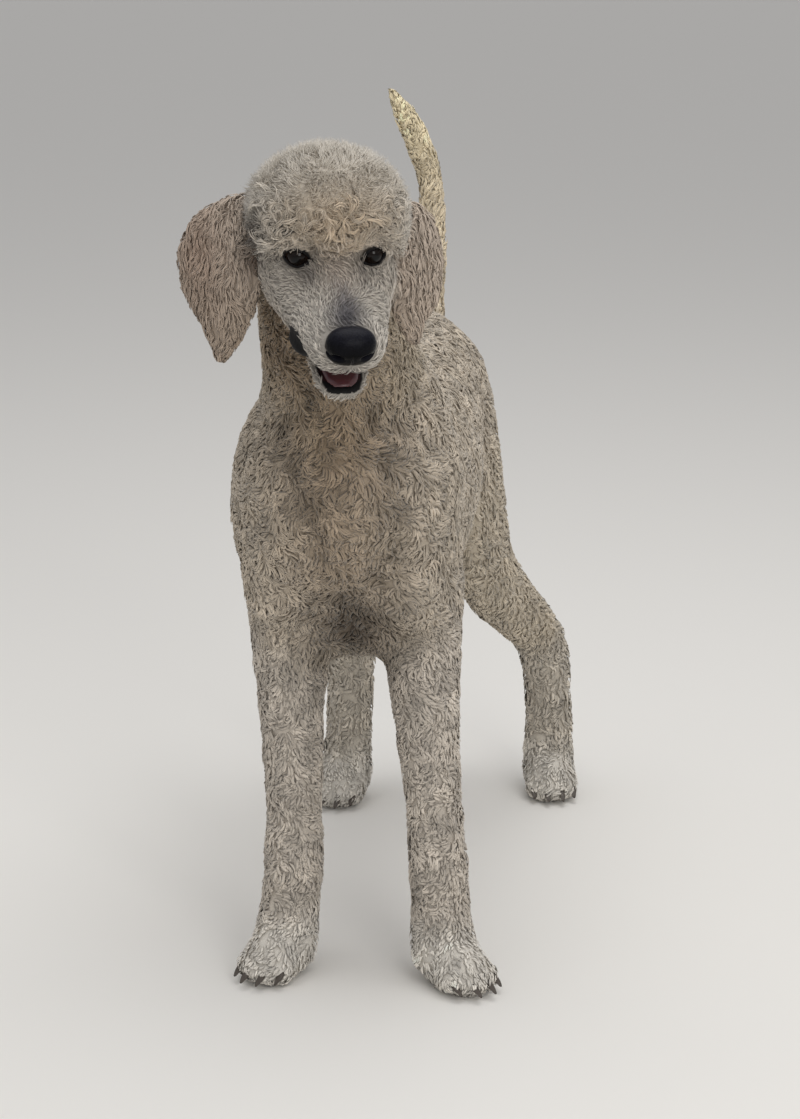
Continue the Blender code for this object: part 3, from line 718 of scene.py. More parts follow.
# Wet cornea over a dark iris: clear and smooth as glass, so that it mirrors the lights as small sharp spots.
eye_ball, shader = new_material("wet_dark_eye", Roughness=0.03, IOR=1.376, Specular_IOR_Level=0.36)
radial = add_node(eye_ball, "ShaderNodeUVMap", {"uv_map": "from_pupil"})
ring = add_node(eye_ball, "ShaderNodeSeparateXYZ", Vector=radial.outputs["UV"])
ramp = add_node(eye_ball, "ShaderNodeValToRGB", Fac=ring.outputs["X"])
while len(ramp.color_ramp.elements) < len(EYE_RINGS):
    ramp.color_ramp.elements.new(0.5)
for element, (place, code) in zip(ramp.color_ramp.elements, EYE_RINGS):
    element.position = place
    element.color = (*srgb(code), 1.0)
dress(eye_ball, shader, Base_Color=ramp.outputs["Color"])

for name, (centre, side) in EYES.items():
    look, outer, up = eye_axes(side)
    turn = Matrix((outer, up, look)).transposed()
    bm = bmesh.new()
    bmesh.ops.create_uvsphere(bm, u_segments=48, v_segments=40, radius=EYE_RADIUS)
    uv = bm.loops.layers.uv.new("from_pupil")
    for face in bm.faces:
        for loop in face.loops:
            angle = loop.vert.co.angle(Vector((0, 0, 1)))
            loop[uv].uv = (angle / math.pi, 0.5)
    for vert in bm.verts:
        angle = vert.co.angle(Vector((0, 0, 1)))
        if angle < IRIS_ANGLE:
            vert.co *= 1 + CORNEA_BULGE / EYE_RADIUS * math.cos(angle / IRIS_ANGLE * math.pi / 2)
    bm.transform(HEAD @ Matrix.Translation(Vector(centre)) @ turn.to_4x4())
    bmesh.ops.recalc_face_normals(bm, faces=bm.faces)
    eyeball = new_object("eyeball_" + name, finished(bm, "eyeball_" + name))
    eyeball.data.shade_smooth()
    eyeball.data.materials.append(eye_ball)
    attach(eyeball, "root")
    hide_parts("eye_" + name)

# The nose.
# Bare, moist black leather with a pebbled grain, two comma-shaped nostrils and a groove below.
# It stands on the end of the muzzle and the short hair stops at its edge.

NOSE_SQUARENESS = 2.6
NOSTRIL_OUT = 0.0120
NOSTRIL_DEPTH = 0.0090
NOSTRIL_RADII = (0.0042, 0.0034)
SLIT_DEPTH = 0.0034
SLIT_WIDTH = 0.0013
WING_SWELL = 0.0012
WING_RADII = (0.0075, 0.0030)
GROOVE_DEPTH = 0.0012
GROOVE_WIDTH = 0.0008

bm = bmesh.new()
forward = Matrix.Rotation(math.pi / 2, 4, "X")
bmesh.ops.create_uvsphere(bm, u_segments=112, v_segments=80, radius=1.0, matrix=forward)
for vert in bm.verts:
    x, y, z = vert.co
    square = (abs(x) ** NOSE_SQUARENESS + abs(z) ** NOSE_SQUARENESS) ** (1 / NOSE_SQUARENESS)
    swell = math.hypot(x, z) / square if square > 1e-6 else 1.0
    vert.co = Vector((x * swell * NOSE_RADII[0], y * NOSE_RADII[1], z * swell * NOSE_RADII[2]))
for vert in bm.verts:
    x, y, z = vert.co
    if y > 0.004:
        continue
    pit = 0.0
    for side in (-1, 1):
        a = side * x - NOSTRIL_OUT
        b = z + 0.0015
        hole = math.exp(-((math.hypot(a / NOSTRIL_RADII[0], b / NOSTRIL_RADII[1])) ** 4))
        slit_line = b + 0.0026 - 0.35 * (a - 0.004)
        slit = math.exp(-((slit_line / SLIT_WIDTH) ** 2)) * (1 / (1 + math.exp(-(a - 0.001) / 0.0008)))
        pit += NOSTRIL_DEPTH * hole + SLIT_DEPTH * slit * (1 - hole)
        pit -= WING_SWELL * math.exp(-((math.hypot(a / WING_RADII[0], (b - 0.0045) / WING_RADII[1])) ** 2))
    groove = math.exp(-((x / GROOVE_WIDTH) ** 2)) / (1 + math.exp((z + 0.001) / 0.0012))
    vert.co.y += pit + GROOVE_DEPTH * groove
bm.transform(HEAD @ Matrix.Translation(Vector(NOSE_AT)) @ Matrix.Rotation(NOSE_TILT, 4, "X"))
bmesh.ops.recalc_face_normals(bm, faces=bm.faces)
bm.normal_update()
# Faces of the leather that turn up are painted a lighter blue-grey, as a painted sheen; the rest is near
# black.
head_up = HEAD.to_3x3() @ Vector((0, 0, 1))
top_sheen = np.clip([vert.normal @ head_up for vert in bm.verts], 0, 1)[:, None]
nose = new_object("nose_leather", finished(bm, "nose_leather"))
nose.data.shade_smooth()
paint(nose.data, "leather", srgb("020203") * (1 - top_sheen) + srgb("1E1E26") * top_sheen)

# Moist nose leather: near black with a painted bluish sheen on top, and 1.3 mm pebbles that catch a blurred
# light.
leather, shader = new_material("moist_nose_leather", Roughness=0.30, Specular_IOR_Level=0.08)
painted = add_node(leather, "ShaderNodeAttribute", {"attribute_name": "leather"})
where = add_node(leather, "ShaderNodeTexCoord")
pebbles = add_node(leather, "ShaderNodeTexVoronoi", {"feature": "SMOOTH_F1"}, Vector=where.outputs["Object"],
                   Scale=780.0)
fine = add_node(leather, "ShaderNodeTexNoise", Vector=where.outputs["Object"], Scale=1500.0, Detail=3.0)
height = add_node(leather, "ShaderNodeMath", {"operation": "MULTIPLY_ADD"}, _0=fine.outputs["Fac"], _1=0.3,
                  _2=pebbles.outputs["Distance"])
bump = add_node(leather, "ShaderNodeBump", {"invert": True}, Strength=0.55, Distance=0.0005,
                Height=height.outputs["Value"])
tone = add_node(leather, "ShaderNodeMapRange", Value=pebbles.outputs["Distance"], _1=0.0, _2=0.8, _3=1.25,
                _4=0.5)
mixed = add_node(leather, "ShaderNodeVectorMath", {"operation": "SCALE"}, _0=painted.outputs["Color"],
                 Scale=tone.outputs["Result"])
dress(leather, shader, Base_Color=mixed.outputs["Vector"], Normal=bump.outputs["Normal"])
nose.data.materials.append(leather)
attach(nose, "root")
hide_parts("nose")

# The tongue.
# A soft, wet tongue lying in the lower jaw behind the black lip.
# It is one rounded piece, smoothed from its solid, with its tip drawn forward to the lip.

TONGUE_VOXEL = 0.0009
TONGUE_SMOOTHING = 24
TIP_FORWARD = 0.0042
TIP_ROUNDING = 0.0050
TIP_DOWN = 0.0010

tongue = new_object("tongue_flesh", merged_node("tongue", 0.0))
fuse(tongue, TONGUE_VOXEL, TONGUE_SMOOTHING)
of_tongue = in_head(coordinates(tongue.data))
tip = smooth_step(-of_tongue[:, 1], 0.055, 0.082)
of_tongue[:, 1] -= tip * (TIP_FORWARD - TIP_ROUNDING * (of_tongue[:, 0] / 0.018) ** 2)
of_tongue[:, 2] -= tip * TIP_DOWN
put_points(tongue.data, from_head(of_tongue))
tongue.data.shade_smooth()

# Wet tongue: dull rose painted darker as shade inside the mouth, with papillae 0.7 mm apart, glossy where
# the light meets it.
wet_flesh, shader = new_material("wet_tongue", Roughness=0.32, Subsurface_Weight=0.2, Subsurface_Scale=0.002,
                                 Coat_Weight=0.4, Coat_Roughness=0.15)
where = add_node(wet_flesh, "ShaderNodeTexCoord")
papillae = add_node(wet_flesh, "ShaderNodeTexNoise", Vector=where.outputs["Object"], Scale=1400.0, Detail=2.0)
bump = add_node(wet_flesh, "ShaderNodeBump", Strength=0.4, Distance=0.0004, Height=papillae.outputs["Fac"])
ramp = add_node(wet_flesh, "ShaderNodeValToRGB", Fac=papillae.outputs["Fac"])
ramp.color_ramp.elements[0].color = (*srgb("3C1D21"), 1.0)
ramp.color_ramp.elements[1].color = (*srgb("5E2E33"), 1.0)
dress(wet_flesh, shader, Base_Color=ramp.outputs["Color"], Normal=bump.outputs["Normal"])
tongue.data.materials.append(wet_flesh)
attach(tongue, "root")
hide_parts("tongue")

# The claws.
# Sixteen blunt horn claws, dark and worn, each curving down from its toe through the hair.
# Each is a row of flattened rings, bridged into one tapered form and set on the toe's end.

CLAW_RADII = (0.0040, 0.0043, 0.0041, 0.0036, 0.0030, 0.0020)
CLAW_FLATNESS = 0.8
CLAW_WORN = 0.64
CLAW_PARTS = (0, 0.4, 0.8, 1.0)

bm = bmesh.new()
for place in toe_places:
    rings = []
    for k, radius in enumerate(CLAW_RADII):
        part = k / (len(CLAW_RADII) - 1)
        middle = [np.interp(part * CLAW_WORN, CLAW_PARTS, CLAW_LINE[:, axis]) for axis in range(3)]
        lean = Matrix.Rotation(math.radians(75 - 50 * part), 4, "X")
        shape = Matrix.Diagonal((CLAW_FLATNESS * radius, radius, 1.0, 1.0))
        at = place @ Matrix.Translation(middle) @ lean @ shape
        ring = bmesh.ops.create_circle(bm, segments=12, radius=1.0, matrix=at)["verts"]
        rings.append(list(dict.fromkeys(edge for vert in ring for edge in vert.link_edges)))
    for low, high in zip(rings[:-1], rings[1:]):
        bmesh.ops.bridge_loops(bm, edges=low + high)
    bmesh.ops.edgeloop_fill(bm, edges=rings[0])
    bmesh.ops.edgeloop_fill(bm, edges=rings[-1])
bmesh.ops.recalc_face_normals(bm, faces=bm.faces)
claws = new_object("claws", finished(bm, "claws"))
claws.data.shade_smooth()

# Dark horn: hard and slightly waxy, with growth lines too fine to draw.
horn, shader = new_material("dark_claw_horn", Base_Color=(*srgb("4A423B"), 1.0), Roughness=0.5)
claws.data.materials.append(horn)
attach(claws, "root")

# The coat of the body and legs.
# Curly wool, scissored short. It grows in clumps whose hairs curve together, and the clumps beside
# each other curve alike, so that the surface looks combed into small arcs.
# Each lock is a tapering strand from the skin to the outline, open at its root and closed at its tip.

ROOT_CELLS = np.array((1, 100003, 10000600009))
PATCH_SIZE = 0.003
FLOOR_CLEARANCE = 0.0003
rng = np.random.default_rng(7)
wave_seeds = np.random.default_rng(3).normal(size=(12, 6, 3))

bpy.context.view_layer.objects.active = skin
skin.select_set(True)
bpy.ops.object.mode_set(mode="EDIT")
bpy.ops.mesh.select_all(action="SELECT")
skin.data.uv_layers.new(name="OFBake")
bpy.ops.uv.smart_project(angle_limit=math.radians(75), island_margin=0.001)
bpy.ops.object.mode_set(mode="OBJECT")
skin.select_set(False)
skin_uv = rows_of(skin.data.uv_layers["OFBake"].data, "uv", 2).reshape(-1, 3, 2)
skin_tris = rows_of(skin.data.loops, "vertex_index", 1, np.int32).reshape(-1, 3)

shell_tree = BVHTree.FromPolygons(shell.tolist(), skin_tris.tolist())
corner, second, third = (shell[skin_tris[:, i]] for i in range(3))
tri_area = 0.5 * size_of(np.cross(second - corner, third - corner))


# How far across the areas are that share each habit of the coat, and the number of its pattern.
HABITS = {
    "turn": (0.045, 1), "tightness": (0.030, 2), "heading": (0.034, 4), "length": (0.05, 5),
    "phase": (0.03, 6), "lumps": (0.016, 7), "hang": (0.014, 8), "tone": (0.014, 9),
}


def waves(points, habit, scale=1.0):
    """A smooth random value from about -1 to 1 for one habit of the coat."""
    size, seed = HABITS[habit]
    size *= scale
    total = np.zeros(len(points))
    for i, way in enumerate(wave_seeds[seed]):
        total += np.sin(points @ way * (2.2 / size) + 1.7 * i + seed)
    return total / 2.45


# On the face the coat lies back from the nose, and on the topknot out from the crown.
FACE_PARTING = np.array((0.0, -0.125, -0.045))
CROWN = np.array((0.0, 0.050, 0.075))
on_face = evened(on_nodes("head"), 6)[:, None]
from_nose = unit(head_points - FACE_PARTING) @ HEAD_TURN.T
over_dome = unit(head_points - CROWN) @ HEAD_TURN.T
lie = by_node(LIE) * (1 - on_face) + on_face * from_nose
lie = lie * (1 - topknot_share[:, None]) + topknot_share[:, None] * over_dome
lie = evened(lie, 6)
lie -= normals * (lie * normals).sum(axis=1, keepdims=True)
lie = unit(lie)


def scattered(mask, spacing):
    """Roots spread evenly over the chosen triangles: the triangle and the place in it of each."""
    share = tri_area * mask
    many = int(share.sum() / spacing**2 * 7)
    tri = rng.choice(len(share), many, p=share / share.sum())
    a, b = rng.random(many), rng.random(many)
    fold = a + b > 1
    a[fold], b[fold] = 1 - a[fold], 1 - b[fold]
    place = np.stack((1 - a - b, a, b), axis=1)
    at = (shell[skin_tris[tri]] * place[:, :, None]).sum(axis=1)
    cell = np.floor(at / spacing).astype(np.int64)
    _, first = np.unique(cell @ ROOT_CELLS, return_index=True)
    return tri[first], place[first]


def at_root(values, tri, place):
    return (values[skin_tris[tri]] * place.reshape(len(tri), 3, *([1] * (values.ndim - 1)))).sum(axis=1)


def grow(name, wool, mask, spacing, hairs, rings, length, width, bend, crimp=(0.0, 1.0), ringlet=(0.0, 1.0),
         wander=0.6, lift=2.4, clump=0.0035, gather=0.45, fuzz=0.0012, ends=(0.82, 1.0), shade=(0.78, 1.0),
         tint=0.04, free=99, droop=0.5, thin=0.5, fullness=1.0, lumps=0.0, deep=1.0, patch=1.0, blotch=0.0,
         longer=None):
    """One piece of the coat: clumps of locks rooted in the skin over the chosen triangles.

    bend is how far a lock turns along its length, crimp its side-to-side turn and how many,
    ringlet the radius and turns of a coil, and lift how soon it reaches the outline. wander is
    how far locks head off the coat's lie, and gather what a clump keeps of its spread at its
    tip. From the ring named by free on, a lock leaves the outline and falls on its own, by
    droop. The first lock of a clump has the full width and the others thin of it. No lock
    roots further down than deep. lumps swells the coat, patch is the size of the areas that
    curl alike, and blotch how much their tone differs.
    """
    tri, place = scattered(mask, spacing)
    count = len(tri)
    root = at_root(skin_points, tri, place)
    start = at_root(shell, tri, place)
    down = size_of(root - start)[:, None]
    root = start + (root - start) * np.minimum(1.0, deep / np.maximum(down, 1e-6))
    steps = rings + 1
    s = np.linspace(0, 1, steps)
    tightness = 0.55 + 0.45 * np.abs(waves(start, "tightness", patch))
    arc = bend * np.sign(waves(start, "turn", patch)) * tightness
    heading = wander * waves(start, "heading", patch) + 0.28 * wander * rng.normal(size=count)
    arc *= rng.uniform(0.75, 1.25, count)
    size = length * (1 + 0.18 * waves(start, "length")) * rng.uniform(0.8, 1.2, count)
    if longer is not None:
        size = size * at_root(longer, tri, place)
    phase = 2.5 * waves(start, "phase")
    at, path, across, out = start.copy(), [], [], []
    for k in range(steps):
        if k < free:
            hits = [shell_tree.find_nearest(p) for p in at.tolist()]
            at = np.array([hit[0] for hit in hits])
            face = skin_tris[[hit[2] for hit in hits]]
        away = 1 / (size_of(shell[face] - at[:, None]) + 1e-5)
        away /= away.sum(axis=1, keepdims=True)
        up = unit((normals[face] * away[:, :, None]).sum(axis=1))
        ahead = (lie[face] * away[:, :, None]).sum(axis=1)
        ahead = unit(ahead - up * (ahead * up).sum(axis=1, keepdims=True))
        if k >= free:
            ahead = unit(ahead + np.array((0.0, 0.0, -droop)))
        beside = np.cross(up, ahead)
        angle = heading + arc * (s[k] - 0.15) + crimp[0] * np.sin(2 * math.pi * crimp[1] * s[k] + phase)
        ahead = ahead * np.cos(angle)[:, None] + beside * np.sin(angle)[:, None]
        path.append(at.copy())
        across.append(np.cross(up, ahead))
        out.append(up)
        at = at + ahead * (size / rings)[:, None]
    path, across, out = (np.array(x).transpose(1, 0, 2) for x in (path, across, out))

    # Each clump's locks start round its middle and draw together towards its tip.
    total = count * hairs
    own = np.repeat(np.arange(count), hairs)
    spread = clump * np.sqrt(rng.random(total))
    turn = rng.uniform(0, 2 * math.pi, total)
    side, fore = spread * np.cos(turn), spread * np.sin(turn)
    share = rng.uniform(0.75, 1.0, total)
    at_step = np.clip(s[None] * share[:, None] * (steps - 1), 0, steps - 1.001)
    low = at_step.astype(int)
    part = (at_step - low)[:, :, None]
    line = path[own[:, None], low] * (1 - part) + path[own[:, None], low + 1] * part
    b = across[own[:, None], low]
    n = out[own[:, None], low]
    f = np.cross(b, n)
    draw = 1 - (1 - gather) * s
    line += b * (side[:, None] * draw)[:, :, None] + f * (fore[:, None] * draw)[:, :, None]
    loose = rng.normal(size=(total, 2)) * fuzz
    line += (b * loose[:, 0, None, None] + n * loose[:, 1, None, None] * 0.4) * (s**1.5)[None, :, None]
    coil = phase[own] * 2 + rng.normal(size=total) * 0.5
    coil = coil[:, None] + 2 * math.pi * ringlet[1] * s[None] * np.where(arc[own] > 0, 1, -1)[:, None]
    wide = ringlet[0] * np.sqrt(s)[None]
    line += b * (wide * np.cos(coil))[:, :, None] + n * (wide * np.sin(coil) - wide * 0.6)[:, :, None]
    heights = rng.uniform(*ends, count)[own] * rng.uniform(0.94, 1.0, total)
    heights = heights - lumps * (0.5 - 0.5 * waves(start, "lumps"))[own]
    rise = (1 - (1 - s[None]) ** lift) * heights[:, None]
    foot = root[own] + b[:, 0] * side[:, None] + f[:, 0] * fore[:, None]
    line = foot[:, None] * (1 - rise)[:, :, None] + line * rise[:, :, None]

    # Three-sided strands, wider than thick, closed at the tip.
    tangent = unit(np.gradient(line, axis=1))
    flat = unit(np.cross(n, tangent))
    thick = np.cross(tangent, flat)
    w = width * rng.uniform(0.75, 1.3, total)[:, None] * ((0.75 + 0.5 * s) * (1 - s**2.6))[None]
    w *= np.where(np.arange(total) % hairs == 0, 1.0, thin)[:, None]
    rounds = [(1.0, -0.35), (-1.0, -0.35), (0.0, 0.65)]
    points = [line[:, :-1] + (flat * x + thick * y * fullness)[:, :-1] * w[:, :-1, None] for x, y in rounds]
    points = np.stack(points, axis=2).reshape(total, rings * 3, 3)
    points = np.concatenate((points, line[:, -1:]), axis=1)
    points[:, :, 2] = np.maximum(points[:, :, 2], FLOOR_CLEARANCE)
    each = rings * 3 + 1
    sides = [(k * 3 + i, k * 3 + (i + 1) % 3) for k in range(rings) for i in range(3)]
    quads = [(first + 3, second + 3, second, first) for first, second in sides[:-3]]
    tips = [(rings * 3, second, first) for first, second in sides[-3:]]
    pattern = np.concatenate([np.ravel(quads), np.ravel(tips)])
    sizes = np.array([4] * len(quads) + [3] * len(tips))
    loops = (pattern[None] + (np.arange(total) * each)[:, None]).ravel()
    starts = np.concatenate(([0], np.cumsum(sizes)[:-1]))
    starts = (starts[None] + (np.arange(total) * len(pattern))[:, None]).ravel()
    mesh = bpy.data.meshes.new(name)
    mesh.vertices.add(total * each)
    mesh.loops.add(len(loops))
    mesh.polygons.add(len(sizes) * total)
    mesh.vertices.foreach_set("co", points.astype(np.float32).ravel())
    mesh.loops.foreach_set("vertex_index", loops.astype(np.int32))
    mesh.polygons.foreach_set("loop_start", starts.astype(np.int32))
    mesh.update(calc_edges=True)

    # Where each point lies in its lock: across it, along it, and the lock's own number.
    edge = np.tile((1.0, -1.0, 0.0), rings)[None] * np.repeat(w[:, :-1], 3, axis=1)
    along = np.repeat(s[:-1], 3)[None] * size[own][:, None]
    number = rng.uniform(0, 50, total)
    placed = np.stack([edge, along, np.repeat(number[:, None], rings * 3, axis=1)], 2)
    tips = np.stack([np.zeros(total), size[own], number], 1)
    placed = np.concatenate((placed, tips[:, None]), axis=1)
    strand = mesh.attributes.new("strand", "FLOAT_VECTOR", "POINT")
    strand.data.foreach_set("vector", placed.astype(np.float32).ravel())

    # A lock is painted darker at its root and lighter at its tip, as shade deep in the coat and light on top,
    # and locks differ a little from each other.
    clump_tone = 1 + tint * rng.normal(size=count) + blotch * waves(start, "tone")
    lock_tone = 1 + 0.6 * tint * rng.normal(size=total)
    hue = at_root(shell_colours, tri, place)[own] * clump_tone[own, None] * lock_tone[:, None]
    ramp = shade[0] + (shade[1] - shade[0]) * np.clip(s[:-1] * 1.6, 0, 1)
    ramp = np.concatenate((np.repeat(ramp, 3), [shade[1] * 1.03]))
    paint(mesh, "wool", np.clip(hue[:, None] * ramp[None, :, None], 0, 1).reshape(-1, 3))

    # Each lock's patch of the unwrap lies at its root's place on the skin's own.
    middle = (skin_uv[tri] * place[:, :, None]).sum(axis=1)[own]
    square = np.stack([np.tile((-0.4, 0.4, 0.0), rings), np.repeat(s[:-1] - 0.5, 3)], 1)
    square = np.concatenate((square, [[0.0, 0.5]]))
    uv = np.clip(middle[:, None] + PATCH_SIZE * square[None], 0, 1)
    layer = mesh.uv_layers.new(name="OFBake")
    layer.data.foreach_set("uv", uv.reshape(-1, 2)[loops].astype(np.float32).ravel())
    mesh.shade_smooth()
    mesh.materials.append(wool)
    made = new_object(name, mesh)
    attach(made, "root")
    return made


HAIR_RUN = 0.016


def wool_material(name, roughness, sheen, hair, contrast):
    """Wool: matt, with a soft light edge. Its hairs run along each lock, drawn coarse enough to show."""
    made, shader = new_material(name, Roughness=roughness, Sheen_Weight=sheen, Sheen_Roughness=0.4,
                                Specular_IOR_Level=0.2)
    colour = add_node(made, "ShaderNodeAttribute", {"attribute_name": "wool"})
    strand = add_node(made, "ShaderNodeAttribute", {"attribute_name": "strand"})
    drawn = add_node(made, "ShaderNodeMapping", Vector=strand.outputs["Vector"],
                     Scale=(1 / hair, 1 / HAIR_RUN, 1.0))
    fibres = add_node(made, "ShaderNodeTexNoise", Vector=drawn.outputs["Vector"], Scale=1.0, Detail=2.0)
    tone = add_node(made, "ShaderNodeMapRange", Value=fibres.outputs["Fac"], _1=0.3, _2=0.7, _3=1 - contrast,
                    _4=1 + 0.5 * contrast)
    mixed = add_node(made, "ShaderNodeVectorMath", {"operation": "SCALE"}, _0=colour.outputs["Color"],
                     Scale=tone.outputs["Result"])
    bump = add_node(made, "ShaderNodeBump", Strength=0.6, Distance=0.0005, Height=fibres.outputs["Fac"])
    dress(made, shader, Base_Color=mixed.outputs["Vector"], Normal=bump.outputs["Normal"])
    return made


def tri_share(values):
    """Values on the outline's points, as means over its triangles."""
    return values[skin_tris].mean(axis=1)


def over(*names):
    return tri_share(on_nodes(*names))


# Scissored poodle wool: matt and springy, its 0.8 mm wisps seen as fine lines along each curl.
curly_wool = wool_material("curly_wool", 0.75, 0.25, 0.0008, 0.22)

trunk = over("trunk")
middle = tri_share(shell)
front = middle[:, 1] < -0.10
leftward = middle[:, 0] > -0.0195
hind = over("thigh_left", "thigh_right", "hock_left", "hock_right")
forelegs = over("foreleg_left", "foreleg_right")
paws = over("forepaw_left", "forepaw_right", "hindpaw_left", "hindpaw_right")
body = dict(hairs=2, rings=3, length=0.017, width=0.0019, bend=3.0, crimp=(0.20, 1.0), wander=1.1, patch=0.6,
            clump=0.0026, gather=0.8, fuzz=0.0008, thin=0.8, fullness=0.40, lumps=0.40, ends=(0.94, 1.06),
            shade=(0.93, 1.0), blotch=0.18)
broad = dict(body, width=0.0022)
legs = dict(body, length=0.014, width=0.0020, wander=1.0, lumps=0.35, ends=(0.92, 1.05))
broad_legs = dict(legs, width=0.0022)
pieces = (
    ("coat_chest", trunk * front, 0.0052, body),
    ("coat_back_left", trunk * ~front * leftward, 0.0069, broad),
    ("coat_back_right", trunk * ~front * ~leftward, 0.0069, broad),
    ("coat_neck", over("neck"), 0.0047, dict(body, length=0.014, width=0.0016, lumps=0.18)),
    ("coat_forelegs", forelegs, 0.0050, legs),
    ("coat_hindleg_left", hind * leftward, 0.0069, broad_legs),
    ("coat_hindleg_right", hind * ~leftward, 0.0069, broad_legs),
    ("coat_tail", over("tail"), 0.0052, legs),
    ("coat_paws", paws, 0.0062, dict(body, length=0.011, width=0.0018, bend=1.6, wander=0.8)),
)
for name, mask, spacing, habit in pieces:
    lock = grow(name, curly_wool, mask, spacing, **habit)

# The topknot.
# A dense round pad of underwool, too thick to see into, under brushed hair that stands on end.
# Curled ringlets fringe the brow, and loose locks fall from the dome's edge: short over the eyes,
# longer between them and over the temples.

PAD_BELOW = -0.0065
PAD_VOXEL = 0.004
PAD_SMOOTHING = 6
PAD_SHADE = 0.9
TOPKNOT_DEEP = 0.0105
EAR_HOLE_AT = np.array((-0.070, 0.026, 0.016))
EAR_HOLE_RADII = np.array((0.014, 0.015, 0.028))

pad = new_object("topknot_underwool", merged_node("topknot", PAD_BELOW))
fuse(pad, PAD_VOXEL, PAD_SMOOTHING)
pad_points = arched(coordinates(pad.data))
put_points(pad.data, pad_points)
pad_base = np.tile(COATS["topknot"][COLOUR], (len(pad_points), 1))
# The underwool is painted a little darker than its coat, as shade under the hair.
paint(pad.data, "hide", coat_colour(pad_points, pad_base) * PAD_SHADE)
pad.data.materials.append(hide)
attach(pad, "root")

# Brushed topknot hair: the softest and most matt of the coat, with a light edge all round.
dome_wool = wool_material("brushed_topknot_hair", 0.8, 0.35, 0.0005, 0.12)

dome = over("topknot")
lock = grow(
    "coat_topknot", dome_wool, dome, spacing=0.0043, hairs=5, rings=2, length=0.0060, width=0.00055,
    bend=1.2, wander=2.2, patch=0.7, lift=1.0, clump=0.0034, gather=1.0, fuzz=0.0020, ends=(0.84, 1.36),
    shade=(0.92, 1.04), tint=0.03, thin=0.85, deep=TOPKNOT_DEEP,
)

head_x, head_y, head_z = in_head(middle).T
ear_hole = size_of((in_head(middle) - EAR_HOLE_AT) / EAR_HOLE_RADII)
brow = (head_y < 0.030) * (head_z < 0.052) * dome * (ear_hole > 1)
lock = grow(
    "coat_fringe", dome_wool, brow, spacing=0.0060, hairs=6, rings=7, length=0.020, width=0.00062, bend=4.4,
    crimp=(0.1, 1.0), ringlet=(0.0012, 1.0), wander=2.0, patch=0.40, lift=1.8, clump=0.0024, gather=0.70,
    fuzz=0.0006, ends=(0.96, 1.30), shade=(0.60, 1.10), tint=0.10, thin=1.0, deep=TOPKNOT_DEEP,
)

across_head = np.abs(in_head(shell)[:, 0])
edge_top = tri_share(np.interp(across_head, (0, 0.040, 0.052), (0.026, 0.026, 0.014)))
edge_zone = (head_y < 0.036) * (head_z < edge_top) * dome
temple = over("head") * (np.abs(head_x) > 0.044) * (head_y < 0.045) * (head_z > -0.014)
hang = np.interp(across_head, (0, 0.012, 0.021, 0.042, 0.050, 0.07), (1.4, 1.2, 0.38, 0.42, 0.80, 0.80))
hang = hang * (1 + 0.35 * waves(shell, "hang"))
lock = grow(
    "coat_brow", dome_wool, np.maximum(edge_zone, temple) * (ear_hole > 1), spacing=0.0034, hairs=3, rings=6,
    length=0.017, width=0.00065, bend=3.0, ringlet=(0.0024, 1.4), wander=1.1, lift=2.0, clump=0.0018,
    gather=0.8, fuzz=0.0008, ends=(0.95, 1.15), shade=(0.66, 1.08), tint=0.07, free=1, droop=0.6, thin=1.0,
    deep=TOPKNOT_DEEP, longer=hang,
)

# The ears' hair.
# Longer crimped hair, combed down the hanging leaf of each ear in side-to-side waves.
# It is a little redder than the curls, and it is left unclipped to the ear's tip.

# Crimped ear hair: a little glossier than the curls, and drawn with wisps 0.6 mm wide.
ear_wool = wool_material("crimped_ear_hair", 0.65, 0.2, 0.0006, 0.18)
lock = grow(
    "coat_ears", ear_wool, over("ear_left", "ear_right"), spacing=0.0054, hairs=3, rings=4, length=0.020,
    width=0.0011, bend=1.2, crimp=(0.8, 1.7), wander=0.5, patch=0.6, clump=0.0026, gather=0.6, fuzz=0.0009,
    shade=(0.88, 1.0), thin=0.7, fullness=0.6, lumps=0.3, ends=(0.85, 1.15), blotch=0.04,
)

# The face's hair.
# Fine hair clipped close, lying back from the nose, and longer by the topknot and on the chin.
# It stops at the lids' rims, the nose leather and the black lips.

# Clipped face hair: soft and matt, and drawn with hairs 0.4 mm wide.
face_hair = wool_material("clipped_face_hair", 0.7, 0.25, 0.0004, 0.10)
by_nose = (1 - smooth_step(from_nose_axis, 1.0, 1.15)) * (p[:, 1] < -0.092)
haired = np.minimum(smooth_step(lid_edge, 0.0020, 0.0038), 1 - band) * (1 - by_nose) * (1 - gum)
by_lips = np.clip(evened(band, 14) * 3, 0, 1) * ((p[:, 2] > JAW_TOP) | (p[:, 1] > -0.0880))
by_dome = evened(on_nodes("topknot"), 40)
on_chin = evened(on_nodes("lower_jaw"), 6)
lock = grow(
    "coat_face", face_hair, tri_share(on_nodes(*FACE_NODES) * (haired > 0.6)), spacing=0.0034, hairs=2,
    rings=3, length=0.0085, width=0.00055, bend=1.2, crimp=(0.3, 1.0), wander=0.8, lift=2.6, clump=0.0016,
    gather=0.5, fuzz=0.0006, ends=(0.8, 1.7), shade=(0.64, 1.10), tint=0.09, thin=0.8,
    longer=(1 + 1.2 * by_dome + 0.9 * on_chin) * (1 - 0.82 * by_lips),
)

# The floor, light and camera.
# A plain pale studio floor and two broad soft lights, which belong to the picture and not to the dog.
# The camera has the photograph's angle and its long lens.

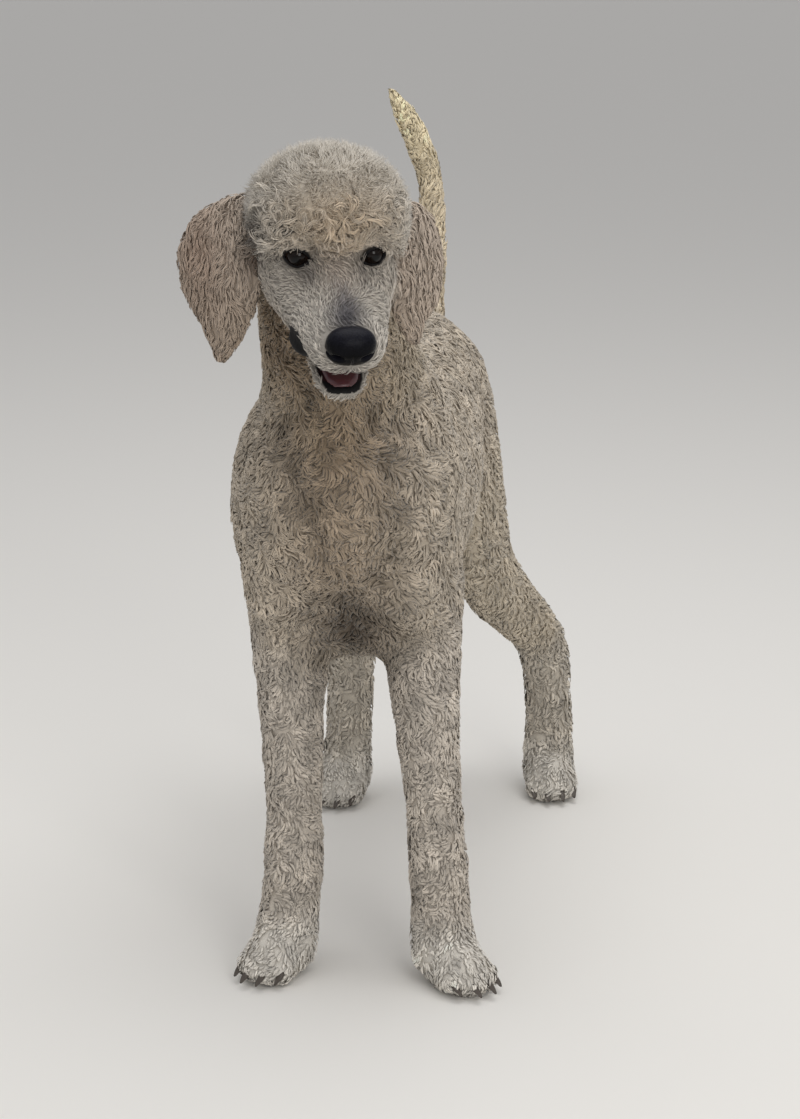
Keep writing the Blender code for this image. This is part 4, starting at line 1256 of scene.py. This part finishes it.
FLOOR_HALF_SIDE = 40.0
LIGHT_COLOUR = (1.0, 0.99, 0.97)
SENSOR_HEIGHT = 24.0
PICTURE_HEIGHT_PX = 1119
FOCAL_LENGTH_PX = 2800
CAMERA_TURN = 0.155
CAMERA_TILT = 0.242
CAMERA_AWAY = 2.785
CAMERA_HEIGHT = 1.055
CAMERA_SHIFT = (0.0025, 0.019)

bm = bmesh.new()
bmesh.ops.create_grid(bm, x_segments=2, y_segments=2, size=FLOOR_HALF_SIDE)
floor = new_object("floor", finished(bm, "floor"))
# Matt floor paint: pale and even, with almost no gloss.
floor_paint, shader = new_material("matt_floor_paint", Base_Color=(*srgb("F0EEEA"), 1.0), Roughness=0.85)
floor.data.materials.append(floor_paint)


def area_light(name, place, target, size, power):
    data = bpy.data.lights.new(name, "AREA")
    data.size = size
    data.energy = power
    data.color = LIGHT_COLOUR
    light = new_object(name, data)
    light.location = place
    light.rotation_euler = (Vector(target) - Vector(place)).to_track_quat("-Z", "Y").to_euler()


area_light("key", (1.9, -3.3, 1.75), (0, -0.1, 0.5), 1.5, 30.0)
area_light("top", (0.3, -0.2, 3.4), (0, 0, 0.5), 3.0, 56.0)

world = bpy.data.worlds.new("studio")
world.use_nodes = True
world.node_tree.nodes["Background"].inputs["Color"].default_value = (0.90, 0.90, 0.91, 1.0)
world.node_tree.nodes["Background"].inputs["Strength"].default_value = 0.50
bpy.context.scene.world = world
bpy.context.scene.view_settings.view_transform = "Standard"

camera = new_object("camera", bpy.data.cameras.new("camera"))
camera.data.sensor_fit = "VERTICAL"
camera.data.sensor_height = SENSOR_HEIGHT
camera.data.lens = SENSOR_HEIGHT / PICTURE_HEIGHT_PX * FOCAL_LENGTH_PX
camera.location = (
    math.sin(CAMERA_TURN) * CAMERA_AWAY + CAMERA_SHIFT[0],
    -math.cos(CAMERA_TURN) * CAMERA_AWAY + CAMERA_SHIFT[1],
    CAMERA_HEIGHT,
)
camera.rotation_euler = (math.pi / 2 - CAMERA_TILT, 0.0, CAMERA_TURN)
bpy.context.scene.camera = camera
